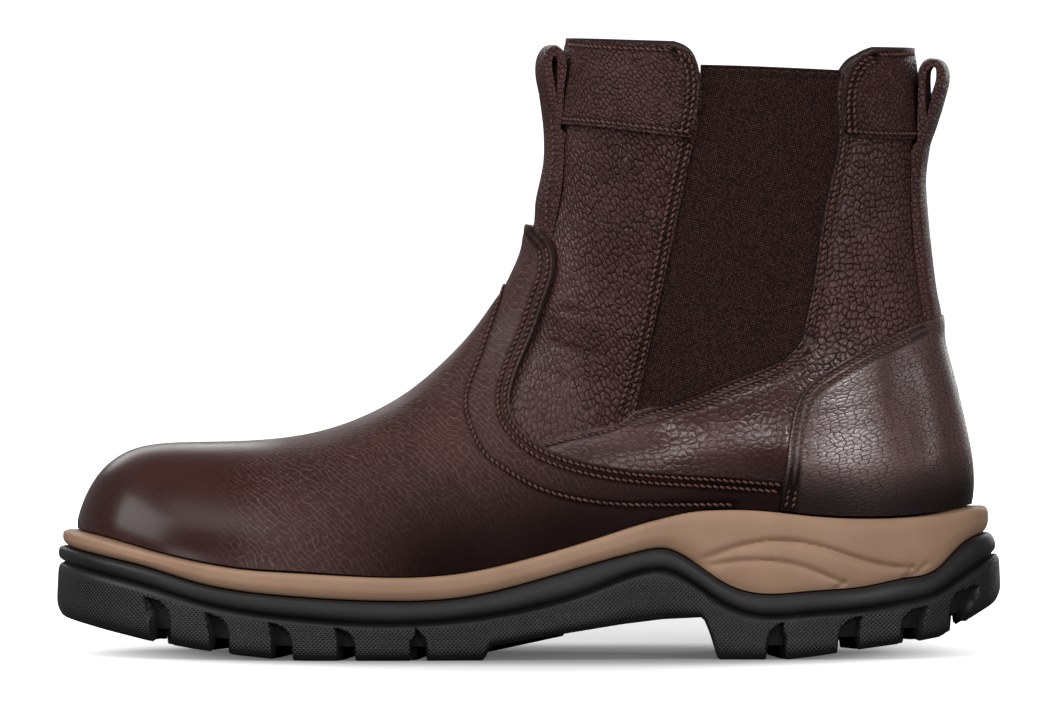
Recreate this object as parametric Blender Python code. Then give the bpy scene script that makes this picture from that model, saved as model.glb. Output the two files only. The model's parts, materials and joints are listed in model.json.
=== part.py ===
"""Pull-on safety boot for the left foot, built as an assembly of closed solids.

Tables are in millimetres and every point is scaled to metres when a mesh is made.
X runs from the toe (negative) to the heel, the lateral side is negative Y, Z is up
and the sole stands on z = 0.
"""
import math
from functools import partial

import bmesh
import bpy
import numpy as np
from mathutils import Vector

MM = 0.001
LATERAL = -1
MEDIAL = 1

# Named sizes
GAP = 0.3
SOLE_GAP = 0.5
FEATHER_GAP = 0.7
OVERLAY_GAP = 0.58
VAMP_OVER_FEATHER = 0.6
COUNTER_OVER_FEATHER = 1.0
BAND_GAP = 0.35
UPPER_WALL = 1.8
OVERLAY = 1.6
BAND = 1.5
GORE_RECESS = 0.9
GORE_THICKNESS = 1.5
INSOLE_THICKNESS = 3.0
FRONT_STRAP_HALF_WIDTH = 17.0
BACK_STRAP_HALF_WIDTH = 15.0
LEDGE = 5.6
LEDGE_AT_TOE = 1.2
LEDGE_AT_HEEL = 2.0
HEEL_FLARE = 2.0
LUG_HEIGHT = 4.6
CENTRE_SHIFT = (0.16, 0.3, 0.0)

# Upper sections, toe to collar: each is a straight cut in side view from a low point
# to a top point, with its half widths, the roundness of both ends and its sideways swing
SECTION_COLUMNS = ("low_x", "low_z", "top_x", "top_z", "lateral", "medial",
                   "low_round", "top_round", "swing")
SECTIONS = (
    (-143.9, 40.6, -143.9, 43.0, 0.0, 0.0, 0.12, 0.42, 5.0),
    (-142.0, 37.5, -142.0, 49.2, 14.5, 14.5, 0.12, 0.42, 5.0),
    (-136.1, 32.0, -136.1, 58.6, 26.5, 26.5, 0.12, 0.42, 4.9),
    (-126.4, 27.0, -126.4, 64.6, 36.0, 36.3, 0.12, 0.42, 4.6),
    (-112.7, 22.5, -112.7, 66.4, 43.5, 43.3, 0.12, 0.42, 4.0),
    (-95.2, 18.5, -95.2, 66.8, 48.5, 46.6, 0.12, 0.42, 3.0),
    (-73.7, 16.0, -73.7, 68.8, 51.5, 47.0, 0.12, 0.44, 1.8),
    (-45.0, 16.0, -54.5, 74.4, 51.0, 44.0, 0.13, 0.46, 0.6),
    (-8.0, 19.0, -38.5, 83.0, 47.0, 39.5, 0.14, 0.48, 0.0),
    (36.0, 29.0, -26.2, 93.2, 40.8, 35.6, 0.14, 0.49, 0.0),
    (82.0, 31.0, -16.8, 103.2, 38.4, 35.4, 0.16, 0.48, 0.0),
    (122.0, 31.0, -9.6, 113.2, 39.2, 37.4, 0.24, 0.47, 0.0),
    (140.9, 47.4, -4.2, 122.3, 40.2, 39.0, 0.42, 0.46, 0.0),
    (139.8, 72.5, 0.6, 132.5, 40.8, 40.0, 0.47, 0.46, 0.0),
    (134.4, 95.0, 4.3, 143.0, 41.2, 40.6, 0.48, 0.46, 0.0),
    (129.4, 115.0, 6.6, 153.2, 41.6, 41.2, 0.47, 0.46, 0.0),
    (126.4, 140.0, 7.5, 165.5, 42.2, 41.8, 0.47, 0.46, 0.0),
    (125.8, 166.0, 10.0, 180.5, 43.0, 42.6, 0.47, 0.46, 0.0),
    (122.9, 196.0, 13.7, 199.0, 43.6, 43.2, 0.47, 0.46, 0.0),
)
HEEL_ROW = 12.0
COLLAR_ROW = 18.0
THROAT_ROW = 13.5

# Sole side lines by length: groove under the bead, bead top, feather line and footbed
SOLE_COLUMNS = ("x", "groove", "bead", "feather", "footbed")
SOLE = (
    (-153.0, 30.8, 35.8, 41.6, 38.0),
    (-138.0, 27.2, 32.6, 39.2, 35.0),
    (-122.0, 23.2, 29.0, 35.0, 31.4),
    (-108.0, 18.5, 24.3, 30.8, 27.8),
    (-92.0, 14.2, 19.8, 26.8, 25.6),
    (-75.0, 11.8, 17.6, 25.5, 25.0),
    (-45.0, 10.0, 16.4, 25.4, 25.0),
    (-22.0, 11.4, 17.8, 27.3, 27.0),
    (0.0, 14.8, 21.8, 31.8, 31.5),
    (22.0, 21.5, 28.7, 37.3, 37.0),
    (36.0, 27.0, 33.3, 41.6, 41.2),
    (44.0, 28.0, 34.7, 43.9, 43.4),
    (52.0, 24.6, 31.4, 45.8, 45.2),
    (62.0, 17.8, 23.9, 47.0, 46.0),
    (72.0, 13.9, 20.2, 47.2, 46.0),
    (90.0, 13.9, 19.8, 46.1, 45.2),
    (108.0, 15.5, 21.8, 45.0, 44.4),
    (122.0, 18.0, 24.7, 45.1, 44.2),
    (132.0, 20.8, 27.8, 45.9, 44.2),
    (139.0, 25.2, 34.5, 46.9, 44.2),
    (152.0, 34.4, 40.0, 48.6, 44.2),
)

# Tread line by length: toe spring, forefoot flat, arch, heel breast, heel flat and rocker
TREAD = (
    (-154.0, 13.4), (-136.7, 9.2), (-123.0, 6.1), (-108.0, 3.6), (-93.0, 1.6), (-80.0, 0.3),
    (-72.0, 0.0), (-14.5, 0.0), (-12.5, 4.2), (0.0, 6.5), (13.0, 8.7), (30.0, 11.4),
    (43.0, 13.0), (56.0, 13.6), (58.0, 9.0), (60.8, 0.0), (83.0, 0.0), (92.0, 1.0),
    (105.0, 3.0), (125.0, 5.6), (132.0, 6.8), (137.0, 9.2), (142.0, 12.4), (152.0, 18.0),
)

# Outsole wall from tread to top: outward step, share of the heel flare, start line, end line
# and part of the way between them
OUTSOLE_WALL = (
    (0.4, 1.0, "tread", "groove", 0.00),
    (1.9, 1.0, "tread", "groove", 0.22),
    (1.5, 1.0, "tread", "groove", 0.80),
    (0.5, 0.8, "tread", "groove", 0.97),
    (1.4, 0.6, "groove", "bead", 0.28),
    (1.3, 0.3, "groove", "bead", 0.72),
    (-0.2, 0.0, "groove", "bead", 1.00),
)
MIDSOLE_WALL = ((-1.6, 0.00), (-0.9, 0.12), (0.0, 0.55), (-0.1, 0.85), (-1.4, 1.00))

# Side notches by length: middle, half width, lean of the hooked tip and chevron sweep
NOTCHES = (
    (-118.5, 3.1, -5.6, 5.0),
    (-99.5, 3.0, -4.8, 6.0),
    (-79.5, 3.0, -4.2, 7.0),
    (-58.5, 2.6, -3.6, 7.0),
    (-35.5, 2.6, -1.2, 7.0),
    (79.5, 3.0, 2.4, -6.0),
    (103.0, 3.0, 4.0, -6.0),
    (123.0, 3.0, 5.0, -6.0),
    (138.0, 2.8, 6.0, -5.0),
)
NOTCH_DEPTH = 2.4

# Panel edges in side view
VAMP_EDGE = (
    (5.0, 137.4), (7.6, 134.0), (8.9, 127.6), (7.6, 120.1), (5.3, 113.7), (3.1, 107.2),
    (-1.1, 97.5), (-4.4, 89.4), (-6.0, 81.3), (-5.0, 76.5), (-2.1, 72.6), (2.1, 69.0),
    (10.2, 65.2), (19.9, 62.6), (32.8, 60.6), (45.8, 59.7), (61.9, 59.0), (81.6, 57.7),
)
COUNTER_FRONT = ((80.9, 47.8), (82.5, 57.1), (83.5, 66.8), (84.8, 76.5), (87.0, 83.6), (90.6, 88.8))
COUNTER_TOP_SIDE = ((90.6, 88.8), (95.9, 92.7), (104.0, 97.5), (113.7, 102.4), (125.0, 107.4))
GORE_FRONT = ((32.5, 78.4), (37.7, 95.9), (44.1, 125.0), (50.9, 157.3), (53.2, 167.7), (55.5, 190.2))
GORE_REAR = ((87.8, 102.4), (91.4, 118.5), (94.3, 137.9), (98.2, 157.3), (100.1, 168.0), (101.1, 188.6))
GORE_LOW = ((32.5, 78.4), (42.5, 81.3), (55.5, 85.5), (68.4, 90.7), (78.1, 94.3), (84.6, 98.5),
            (87.8, 102.4))
GORE_HIGH = ((55.5, 190.2), (70.0, 189.8), (86.0, 189.2), (101.1, 188.6))
WINDOW_HEAD = ((101.1, 188.6), (103.4, 192.6), (107.0, 195.2), (110.5, 196.0), (110.5, 210.0),
               (47.5, 210.0), (47.5, 198.4), (51.8, 196.8), (54.4, 193.6), (55.5, 190.2))
FRONT_BAND_LOW = ((23.0, 171.2), (36.0, 169.9), (52.5, 168.0))
FRONT_BAND_SIDE = ((52.5, 168.0), (54.8, 189.6), (53.8, 193.2), (51.2, 196.2), (47.2, 197.9))
BACK_BAND_LOW = ((112.0, 167.4), (100.8, 168.3))
BACK_BAND_SIDE = ((100.8, 168.3), (101.9, 188.4), (104.1, 192.3), (107.4, 194.8), (110.6, 196.1))
FRONT_BAND_ROW = 16.45
BACK_BAND_ROW = 17.03

# Leaf relief on the midsole wall: lower and upper edges as length and height
LEAF_LOW = ((57.0, 30.0), (66.0, 32.0), (75.0, 32.2), (84.0, 31.2), (92.0, 28.8), (101.0, 25.4))
LEAF_HIGH = ((57.0, 31.0), (66.0, 35.6), (78.0, 38.4), (88.0, 37.8), (98.0, 35.2), (110.0, 31.2),
             (124.0, 29.2))

# Pull straps in side view: outer line and inner line from the low end round the loop
STRAP_COLUMNS = ("outer_x", "outer_z", "inner_x", "inner_z")
FRONT_STRAP = (
    (1.6, 139.8, 2.9, 139.6), (2.0, 146.0, 4.6, 146.0), (3.2, 152.0, 5.9, 152.0),
    (4.4, 158.0, 6.7, 158.0), (4.8, 163.0, 6.9, 162.5), (4.7, 168.0, 7.2, 166.0),
    (4.4, 172.0, 7.5, 169.0), (3.9, 176.0, 6.0, 170.9), (3.2, 181.0, 5.4, 177.6),
    (2.2, 186.0, 4.6, 186.0), (2.0, 190.5, 4.3, 190.2), (3.0, 194.4, 4.9, 193.0),
    (5.4, 196.9, 6.0, 194.6), (8.0, 196.2, 7.0, 194.0), (9.6, 193.2, 7.3, 192.0),
    (9.2, 188.5, 6.9, 188.4), (8.0, 183.5, 6.0, 183.4), (6.0, 170.9, 5.4, 177.6),
)
FRONT_STRAP_JOIN = 7
BACK_STRAP = (
    (133.2, 111.6, 130.7, 111.2), (131.9, 118.0, 129.3, 118.0), (130.7, 127.0, 128.2, 127.0),
    (129.7, 136.0, 127.4, 136.0), (128.8, 146.0, 126.8, 146.0), (128.5, 155.0, 126.6, 155.0),
    (129.4, 162.0, 126.5, 160.0), (130.0, 165.4, 126.5, 163.4), (131.8, 170.4, 128.5, 166.8),
    (133.6, 176.0, 131.0, 174.0), (135.0, 181.0, 132.6, 181.2), (136.0, 185.4, 133.6, 185.4),
    (135.8, 189.2, 133.5, 188.6), (134.2, 191.8, 132.8, 190.0), (131.6, 192.7, 131.4, 190.3),
    (129.0, 191.4, 130.4, 189.3), (127.6, 187.6, 129.9, 187.0), (127.9, 181.0, 130.1, 180.8),
    (128.5, 166.8, 131.0, 174.0),
)
BACK_STRAP_JOIN = 8


class Spline:
    """Natural cubic spline through rows of values, one row at each knot."""

    def __init__(self, knots, rows):
        self.knots = np.asarray(knots, float)
        self.rows = np.asarray(rows, float).reshape(len(self.knots), -1)
        step = np.diff(self.knots)
        slope = np.diff(self.rows, axis=0) / step[:, None]
        system = np.eye(len(self.knots))
        right = np.zeros_like(self.rows)
        for i in range(1, len(self.knots) - 1):
            system[i, i - 1:i + 2] = step[i - 1], 2 * (step[i - 1] + step[i]), step[i]
            right[i] = 6 * (slope[i] - slope[i - 1])
        self.bend = np.linalg.solve(system, right)

    def __call__(self, at):
        at = np.asarray(at, float)
        i = np.clip(np.searchsorted(self.knots, at, side="right") - 1, 0, len(self.knots) - 2)
        step = self.knots[i + 1] - self.knots[i]
        q = ((at - self.knots[i]) / step)[..., None]
        p = 1 - q
        curve = (p ** 3 - p) * self.bend[i] + (q ** 3 - q) * self.bend[i + 1]
        return p * self.rows[i] + q * self.rows[i + 1] + (step * step / 6)[..., None] * curve


def mirrored_toe(rows):
    """Section rows with the first one mirrored before the tip, so the toe closes round."""
    before = list(rows[1])
    before[4], before[5] = -before[4], -before[5]
    return [before] + list(rows)


SECTION_SPLINE = Spline(np.arange(-1, len(SECTIONS)), mirrored_toe(SECTIONS))
SOLE_SPLINE = Spline([row[0] for row in SOLE], [row[1:] for row in SOLE])


def sections(u):
    """Named section columns at row places u."""
    values = SECTION_SPLINE(u)
    return {name: values[..., i] for i, name in enumerate(SECTION_COLUMNS)}


def sole_line(name, x):
    """Height of a named sole side line at length x."""
    if name == "tread":
        return np.interp(x, [row[0] for row in TREAD], [row[1] for row in TREAD])
    return SOLE_SPLINE(x)[..., SOLE_COLUMNS.index(name) - 1]


def half_width(cut, s, side):
    """Half width of a section at the part s of its way from low to top."""
    wide = cut["lateral"] if side == LATERAL else cut["medial"]
    widest = cut["low_round"] / (cut["low_round"] + cut["top_round"])
    s = np.clip(s, 0.0, 1.0)
    low = (s / widest) ** cut["low_round"]
    top = ((1 - s) / (1 - widest)) ** cut["top_round"]
    return wide * low * top


def at_section(u, s, side):
    """Points of the upper's outer face at row u and part s."""
    cut = sections(u)
    x = cut["low_x"] + (cut["top_x"] - cut["low_x"]) * s
    z = cut["low_z"] + (cut["top_z"] - cut["low_z"]) * s
    y = cut["swing"] + side * half_width(cut, s, side)
    return np.stack(np.broadcast_arrays(x, y, z), axis=-1)


def locate(x, z):
    """Row u and part s of the section that passes through a side view point."""
    low = np.zeros(np.shape(x))
    high = np.full(np.shape(x), COLLAR_ROW)
    for _ in range(48):
        middle = (low + high) / 2
        cut = sections(middle)
        turn = ((cut["top_x"] - cut["low_x"]) * (z - cut["low_z"])
                - (cut["top_z"] - cut["low_z"]) * (x - cut["low_x"]))
        low = np.where(turn < 0, middle, low)
        high = np.where(turn < 0, high, middle)
    cut = sections(low)
    run = cut["top_x"] - cut["low_x"]
    rise = cut["top_z"] - cut["low_z"]
    s = ((x - cut["low_x"]) * run + (z - cut["low_z"]) * rise) / (run ** 2 + rise ** 2)
    return low, s


def on_upper(points, side):
    """Points of the upper's outer face seen at side view points."""
    x, z = points[..., 0], points[..., 1]
    u, s = locate(x, z)
    cut = sections(u)
    y = cut["swing"] + side * half_width(cut, s, side)
    return np.stack((x, y, z), axis=-1)


def path(points):
    """Smooth side view curve through points, read from 0 to 1 along its chords."""
    points = np.asarray(points, float)
    chords = np.concatenate(([0.0], np.cumsum(np.linalg.norm(np.diff(points, axis=0), axis=1))))
    return Spline(chords / chords[-1], points)


def coons(a, b, low, high, start, end, power=1):
    """Side view patch: low and high run along a, start and end run along b."""
    a = a[:, None, None]
    b = b[None, :, None]
    rails = (1 - b) * low[:, None] + b * high[:, None]
    start_bow = start - rails[0]
    end_bow = end - rails[-1]
    return rails + (1 - a) ** power * start_bow + a ** power * end_bow


def both_sides(patch):
    """Lateral and medial halves of a patch joined at its first column, the centre line."""
    lateral = on_upper(patch, LATERAL)
    medial = on_upper(patch, MEDIAL)
    return np.concatenate((medial[:, :0:-1], lateral), axis=1)


def new_object(name, verts, faces):
    """Mesh object from points in millimetres, welded where points fall together."""
    mesh = bpy.data.meshes.new(name)
    shifted = (np.asarray(verts, float).reshape(-1, 3) + CENTRE_SHIFT) * MM
    mesh.from_pydata([tuple(point) for point in shifted], [], faces)
    body = bmesh.new()
    body.from_mesh(mesh)
    bmesh.ops.remove_doubles(body, verts=body.verts, dist=0.00001)
    bmesh.ops.dissolve_degenerate(body, edges=body.edges, dist=0.00001)
    body.to_mesh(mesh)
    body.free()
    item = bpy.data.objects.new(name, mesh)
    bpy.context.scene.collection.objects.link(item)
    return item


def face_outward(item):
    """Turn the faces of a closed mesh outward."""
    body = bmesh.new()
    body.from_mesh(item.data)
    bmesh.ops.recalc_face_normals(body, faces=body.faces)
    body.to_mesh(item.data)
    body.free()


def apply_modifiers(item):
    """Replace the mesh by its modified form."""
    bpy.context.view_layer.update()
    graph = bpy.context.evaluated_depsgraph_get()
    done = bpy.data.meshes.new_from_object(item.evaluated_get(graph))
    item.modifiers.clear()
    old = item.data
    item.data = done
    bpy.data.meshes.remove(old)


def grid_faces(rows, columns):
    """Quads of a grid of points, rows by columns."""
    faces = []
    for i in range(rows - 1):
        for j in range(columns - 1):
            at = i * columns + j
            faces.append((at, at + 1, at + columns + 1, at + columns))
    return faces


def shell(name, grid, lift, thickness):
    """Closed sheet lifted off the convex grid by its outward normals, then thickened."""
    rows, columns = grid.shape[:2]
    item = new_object(name, grid, grid_faces(rows, columns))
    body = bmesh.new()
    body.from_mesh(item.data)
    body.normal_update()
    middle = sum((vert.co for vert in body.verts), Vector()) / len(body.verts)
    if sum(vert.normal.dot(vert.co - middle) for vert in body.verts) < 0:
        bmesh.ops.reverse_faces(body, faces=body.faces)
        body.normal_update()
    for vert, normal in [(vert, vert.normal.copy()) for vert in body.verts]:
        vert.co += normal * lift * MM
    body.to_mesh(item.data)
    body.free()
    solid = item.modifiers.new("thickness", "SOLIDIFY")
    solid.thickness = abs(thickness) * MM
    solid.offset = 1.0 if thickness > 0 else -1.0
    apply_modifiers(item)
    return item


def cut_or_join(target, others, operation):
    """Exact Boolean of the target with each of the others in turn."""
    for other in others:
        other.hide_render = True
        other.display_type = "WIRE"
        step = target.modifiers.new(other.name, "BOOLEAN")
        step.operation = operation
        step.solver = "EXACT"
        step.object = other
    apply_modifiers(target)
    for other in others:
        bpy.data.objects.remove(other)


def prism(name, outline, start, end):
    """Closed prism: the outline's points at two ends."""
    count = len(outline)
    verts = [start(point) for point in outline] + [end(point) for point in outline]
    faces = [tuple(range(count)), tuple(range(2 * count - 1, count - 1, -1))]
    for i in range(count):
        j = (i + 1) % count
        faces.append((i, j, count + j, count + i))
    item = new_object(name, verts, faces)
    face_outward(item)
    return item


def paint(item, colour, roughness, coat=0.0):
    """Give an object its own plain material."""
    material = bpy.data.materials.new(item.name + "_material")
    material.use_nodes = True
    shader = material.node_tree.nodes["Principled BSDF"]
    shader.inputs["Base Color"].default_value = (*colour, 1.0)
    shader.inputs["Roughness"].default_value = roughness
    shader.inputs["Metallic"].default_value = 0.0
    shader.inputs["Coat Weight"].default_value = coat
    material.diffuse_color = (*colour, 1.0)
    item.data.materials.clear()
    item.data.materials.append(material)


def make_upper():
    """Hollow leather body: one sheet of sections, open at the collar and at the feather line."""
    half = 11
    u = np.concatenate((np.arange(0, 7, 0.625), np.arange(7, HEEL_ROW, 0.5),
                        np.linspace(HEEL_ROW, COLLAR_ROW, 10)))
    low, high = np.zeros(len(u)), np.ones(len(u))
    cut = sections(u)
    for _ in range(40):
        middle = (low + high) / 2
        x = cut["low_x"] + (cut["top_x"] - cut["low_x"]) * middle
        z = cut["low_z"] + (cut["top_z"] - cut["low_z"]) * middle
        under = z < sole_line("feather", x) + FEATHER_GAP
        low = np.where(under, middle, low)
        high = np.where(under, high, middle)
    first = np.where(u < HEEL_ROW - 0.001, high, 0.0)[:, None]
    closing = np.clip((u - 8.0) / (HEEL_ROW - 8.0), 0, 1)[:, None]
    turn = np.linspace(0, 1, half + 1)[None]
    spread = (1 - closing) * np.sin(turn * math.pi / 2) + closing * (1 - np.cos(turn * math.pi)) / 2
    s = first + (1 - first) * spread
    lateral = at_section(u[:, None], s, LATERAL)
    medial = at_section(u[:, None], s, MEDIAL)
    grid = np.concatenate((medial, lateral[:, -2::-1]), axis=1)
    return shell("upper", grid, 0.0, -UPPER_WALL)


def make_windows(upper):
    """Cut the two gore windows, open at the collar, through both sides of the upper."""
    t = np.linspace(0, 1, 9)
    outline = np.concatenate((path(GORE_LOW)(t)[:-1], path(GORE_REAR)(t)[:-1],
                              np.array(WINDOW_HEAD)[:-1], path(GORE_FRONT)(t)[:0:-1]))
    reach = 90.0
    window = prism("window", outline, lambda p: (p[0], -reach, p[1]), lambda p: (p[0], reach, p[1]))
    cut_or_join(upper, [window], "DIFFERENCE")


def make_gore(name, side):
    """Elastic panel inset in a window, set back from the leather face."""
    a = np.linspace(0.008, 0.992, 9)
    b = np.linspace(0.004, 1.0, 8)
    patch = coons(a, b, path(GORE_LOW)(a), path(GORE_HIGH)(a), path(GORE_FRONT)(b), path(GORE_REAR)(b))
    return shell(name, on_upper(patch, side), -GORE_RECESS, -GORE_THICKNESS)


def make_vamp():
    """Overlay over toe and instep whose arms run back along the sole."""
    a = np.linspace(0, 1, 22) ** 0.95
    arm = 0.9
    b = np.append(arm * np.linspace(0, 1, 12) ** 2, 1.0)
    cut = sections(a * THROAT_ROW)
    ridge = np.stack((cut["top_x"], cut["top_z"]), axis=-1)
    back_end = VAMP_EDGE[-1][0] - 1.4
    x = ridge[0, 0] + (back_end - ridge[0, 0]) * a ** 1.6
    feather = np.stack((x, sole_line("feather", x) + VAMP_OVER_FEATHER), axis=-1)
    tip = ridge[0] + (feather[0] - ridge[0]) * b[:, None]
    edge = path((tuple(ridge[-1]),) + VAMP_EDGE)(np.clip(b / arm, 0, 1))
    drop = np.clip((b - arm) / (1 - arm), 0, 1)[:, None]
    edge = edge + (feather[-1] - np.array(VAMP_EDGE[-1])) * drop
    patch = coons(a, b, ridge, feather, tip, edge, 3)
    return shell("vamp", both_sides(patch), OVERLAY_GAP, OVERLAY)


def make_counter():
    """Overlay round the heel, from the feather line to the foot of the back strap."""
    a = np.linspace(0, 1, 11) ** 2
    b = np.linspace(0, 1, 7)
    rows = np.linspace(HEEL_ROW + 0.1, 14.72, len(b))
    cut = sections(rows)
    back = np.stack((cut["low_x"], cut["low_z"]), axis=-1)
    front = path(COUNTER_FRONT)(b)
    x = back[0, 0] + (front[0, 0] - back[0, 0]) * a
    low = np.stack((x, sole_line("feather", x) + COUNTER_OVER_FEATHER), axis=-1)
    low[0] = back[0]
    low[-1] = front[0]
    high = path(COUNTER_TOP_SIDE + (tuple(back[-1]),))(1 - a)
    patch = coons(b, a, back, front, low, high)
    return shell("heel_counter", both_sides(patch), GAP, OVERLAY)


def make_band_front():
    """Band round the front of the collar between the two gores."""
    a = np.linspace(0, 1, 10) ** 2
    b = np.linspace(0, 1, 5)
    cut = sections(np.linspace(FRONT_BAND_ROW, COLLAR_ROW, len(b)))
    middle = np.stack((cut["top_x"], cut["top_z"]), axis=-1)
    side = path(FRONT_BAND_SIDE)(b)
    low = path((tuple(middle[0]),) + FRONT_BAND_LOW)(a)
    high = middle[-1] + (side[-1] - middle[-1]) * a[:, None]
    patch = coons(b, a, middle, side, low, high)
    return shell("collar_band_front", both_sides(patch), BAND_GAP, BAND)


def make_band_back():
    """Band round the back of the collar between the two gores."""
    a = np.linspace(0, 1, 9) ** 2
    b = np.linspace(0, 1, 5)
    cut = sections(np.linspace(BACK_BAND_ROW, COLLAR_ROW, len(b)))
    middle = np.stack((cut["low_x"], cut["low_z"]), axis=-1)
    side = path(BACK_BAND_SIDE)(b)
    low = path((tuple(middle[0]),) + BACK_BAND_LOW)(a)
    high = middle[-1] + (side[-1] - middle[-1]) * a[:, None]
    patch = coons(b, a, middle, side, low, high)
    return shell("collar_band_back", both_sides(patch), BAND_GAP, BAND)


def wrap_offset(z, y, front):
    """How far the upper's face runs back from its centre line at distances y to the side."""
    cut = sections(np.linspace(HEEL_ROW, COLLAR_ROW, 200))
    end = "top" if front else "low"
    centre = np.interp(z, cut[end + "_z"], cut[end + "_x"])
    sign = 1.0 if front else -1.0
    near, far = np.zeros(np.shape(z)), np.full(np.shape(z), 30.0)
    for _ in range(30):
        middle = (near + far) / 2
        u, s = locate(centre + sign * middle, z)
        inside = half_width(sections(u), s, LATERAL) < np.abs(y)
        near = np.where(inside, middle, near)
        far = np.where(inside, far, middle)
    return sign * near


def make_strap(name, table, join, half, front):
    """Strap lying on the shaft whose doubled end opens into a loop above it."""
    table = np.asarray(table, float)
    count = len(table)
    across = np.linspace(-half, half, 6)
    loop_low = table[join, 1]
    x, z = table.reshape(-1, 2).T
    y = np.repeat(across, len(x))
    x, z = np.tile(x, len(across)), np.tile(z, len(across))
    flat = 1 - 0.5 * np.clip((z - loop_low) / 20.0, 0, 1)
    verts = np.column_stack((x + flat * wrap_offset(np.minimum(z, loop_low), y, front), y, z))
    line = 2 * count
    faces = []
    for j in range(len(across)):
        for i in range(count - 1):
            at = j * line + 2 * i
            if j in (0, len(across) - 1):
                faces.append((at, at + 2, at + 3, at + 1))
            if j < len(across) - 1:
                faces.append((at, at + 2, at + 2 + line, at + line))
                if i != join:
                    faces.append((at + 1, at + 3, at + 3 + line, at + 1 + line))
        if j < len(across) - 1:
            at = j * line
            faces.append((at, at + 1, at + 1 + line, at + line))
    item = new_object(name, verts, faces)
    face_outward(item)
    return item


def sole_stations():
    """Loop of stations round the feather line: point, outward direction and length."""
    toe, heel = SECTIONS[0][0], SECTIONS[int(HEEL_ROW)][0]
    turn = np.linspace(0, 1, 30)
    x = toe + (heel - toe) * (1 - np.cos(turn * math.pi)) / 2
    corners = [row[0] for row in TREAD if -20 < row[0] < 90]
    x = np.array([value for value in x if min(abs(value - c) for c in corners) > 2.4] + corners)
    x = np.sort(x)
    feather = np.stack((x, sole_line("feather", x) + GAP), axis=-1)
    lateral = on_upper(feather, LATERAL)
    medial = on_upper(feather, MEDIAL)
    lateral[0, 1] = medial[0, 1] = SECTIONS[0][8]
    lateral[-1, 1] = medial[-1, 1] = 0.0
    loop = np.concatenate((lateral, medial[-2:0:-1]))[:, :2]
    along = np.roll(loop, -1, axis=0) - np.roll(loop, 1, axis=0)
    out = np.stack((-along[:, 1], along[:, 0]), axis=-1)
    out = out / np.linalg.norm(out, axis=1)[:, None]
    if out[0, 0] > 0:
        out = -out
    return loop, out, len(x)


def ledge(x):
    """How far the midsole edge stands out from the feather line."""
    return LEDGE + np.where(x < 0, LEDGE_AT_TOE, LEDGE_AT_HEEL) * np.abs(x / 142.0) ** 4


def wall_ring(stations, step, low, high, part):
    """Ring of wall points a step outward of the midsole edge, part of the way between two lines."""
    loop, out, _ = stations
    flat = loop + out * (ledge(loop[:, 0]) + step)[:, None]
    bottom = low(flat[:, 0])
    return np.column_stack((flat, bottom + (high(flat[:, 0]) - bottom) * part))


def ring_solid(name, rings, count):
    """Closed body from stacked rings of stations, ruled across at the bottom and the top."""
    total = len(rings[0])
    faces = []
    for i in range(len(rings) - 1):
        for j in range(total):
            k = (j + 1) % total
            faces.append((i * total + j, i * total + k, (i + 1) * total + k, (i + 1) * total + j))
    for base in (0, (len(rings) - 1) * total):
        for j in range(count - 1):
            left, right = (total - j) % total, (total - j - 1) % total
            faces.append((base + j, base + j + 1, base + right, base + left))
    item = new_object(name, np.concatenate(rings), faces)
    face_outward(item)
    return item


def make_outsole(stations):
    """Rubber cup with its bead, then notched round the side and grooved underneath."""
    loop, _, count = stations
    rings = []
    flare = HEEL_FLARE * np.clip((loop[:, 0] - 100.0) / 40.0, 0, 1) ** 2
    for step, share, start, end, part in OUTSOLE_WALL:
        rings.append(wall_ring(stations, step + share * flare, partial(sole_line, start),
                               partial(sole_line, end), part))
    body = ring_solid("outsole", rings, count)
    cutters = []
    for number, (x, half, lean, sweep) in enumerate(NOTCHES):
        for side in (LATERAL, MEDIAL):
            cutters.append(make_groove(stations, number, x, half, sweep, side))
            cutters.append(make_fin(stations, number, x, half, lean, side))
    cut_or_join(body, cutters, "DIFFERENCE")
    return body


def station_at(stations, x, side):
    """Feather point and outward direction on one side at length x."""
    loop, out, count = stations
    if side == LATERAL:
        order = np.arange(count)
    else:
        order = np.concatenate(([0], np.arange(len(loop) - 1, count - 2, -1)))
    at = [np.interp(x, loop[order, 0], values[order, i]) for values in (loop, out) for i in (0, 1)]
    return np.array(at[:2]), np.array(at[2:]) / np.linalg.norm(at[2:])


def make_groove(stations, number, x, half, sweep, side):
    """Tapered bar that cuts one arm of a chevron groove from the edge to the centre."""
    point, out = station_at(stations, x, side)
    edge = point + out * 14.0
    centre = np.array((x + sweep, -side * 2.0))
    along = (edge - centre) / np.linalg.norm(edge - centre)
    across = np.array((-along[1], along[0]))
    top = sole_line("tread", x) + LUG_HEIGHT
    profile = ((-half, -3.0), (half, -3.0), (half * 0.75, top), (-half * 0.75, top))
    return prism("groove_%d_%d" % (number, side), profile,
                 lambda p: (*(edge + across * p[0]), p[1]), lambda p: (*(centre + across * p[0]), p[1]))


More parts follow.
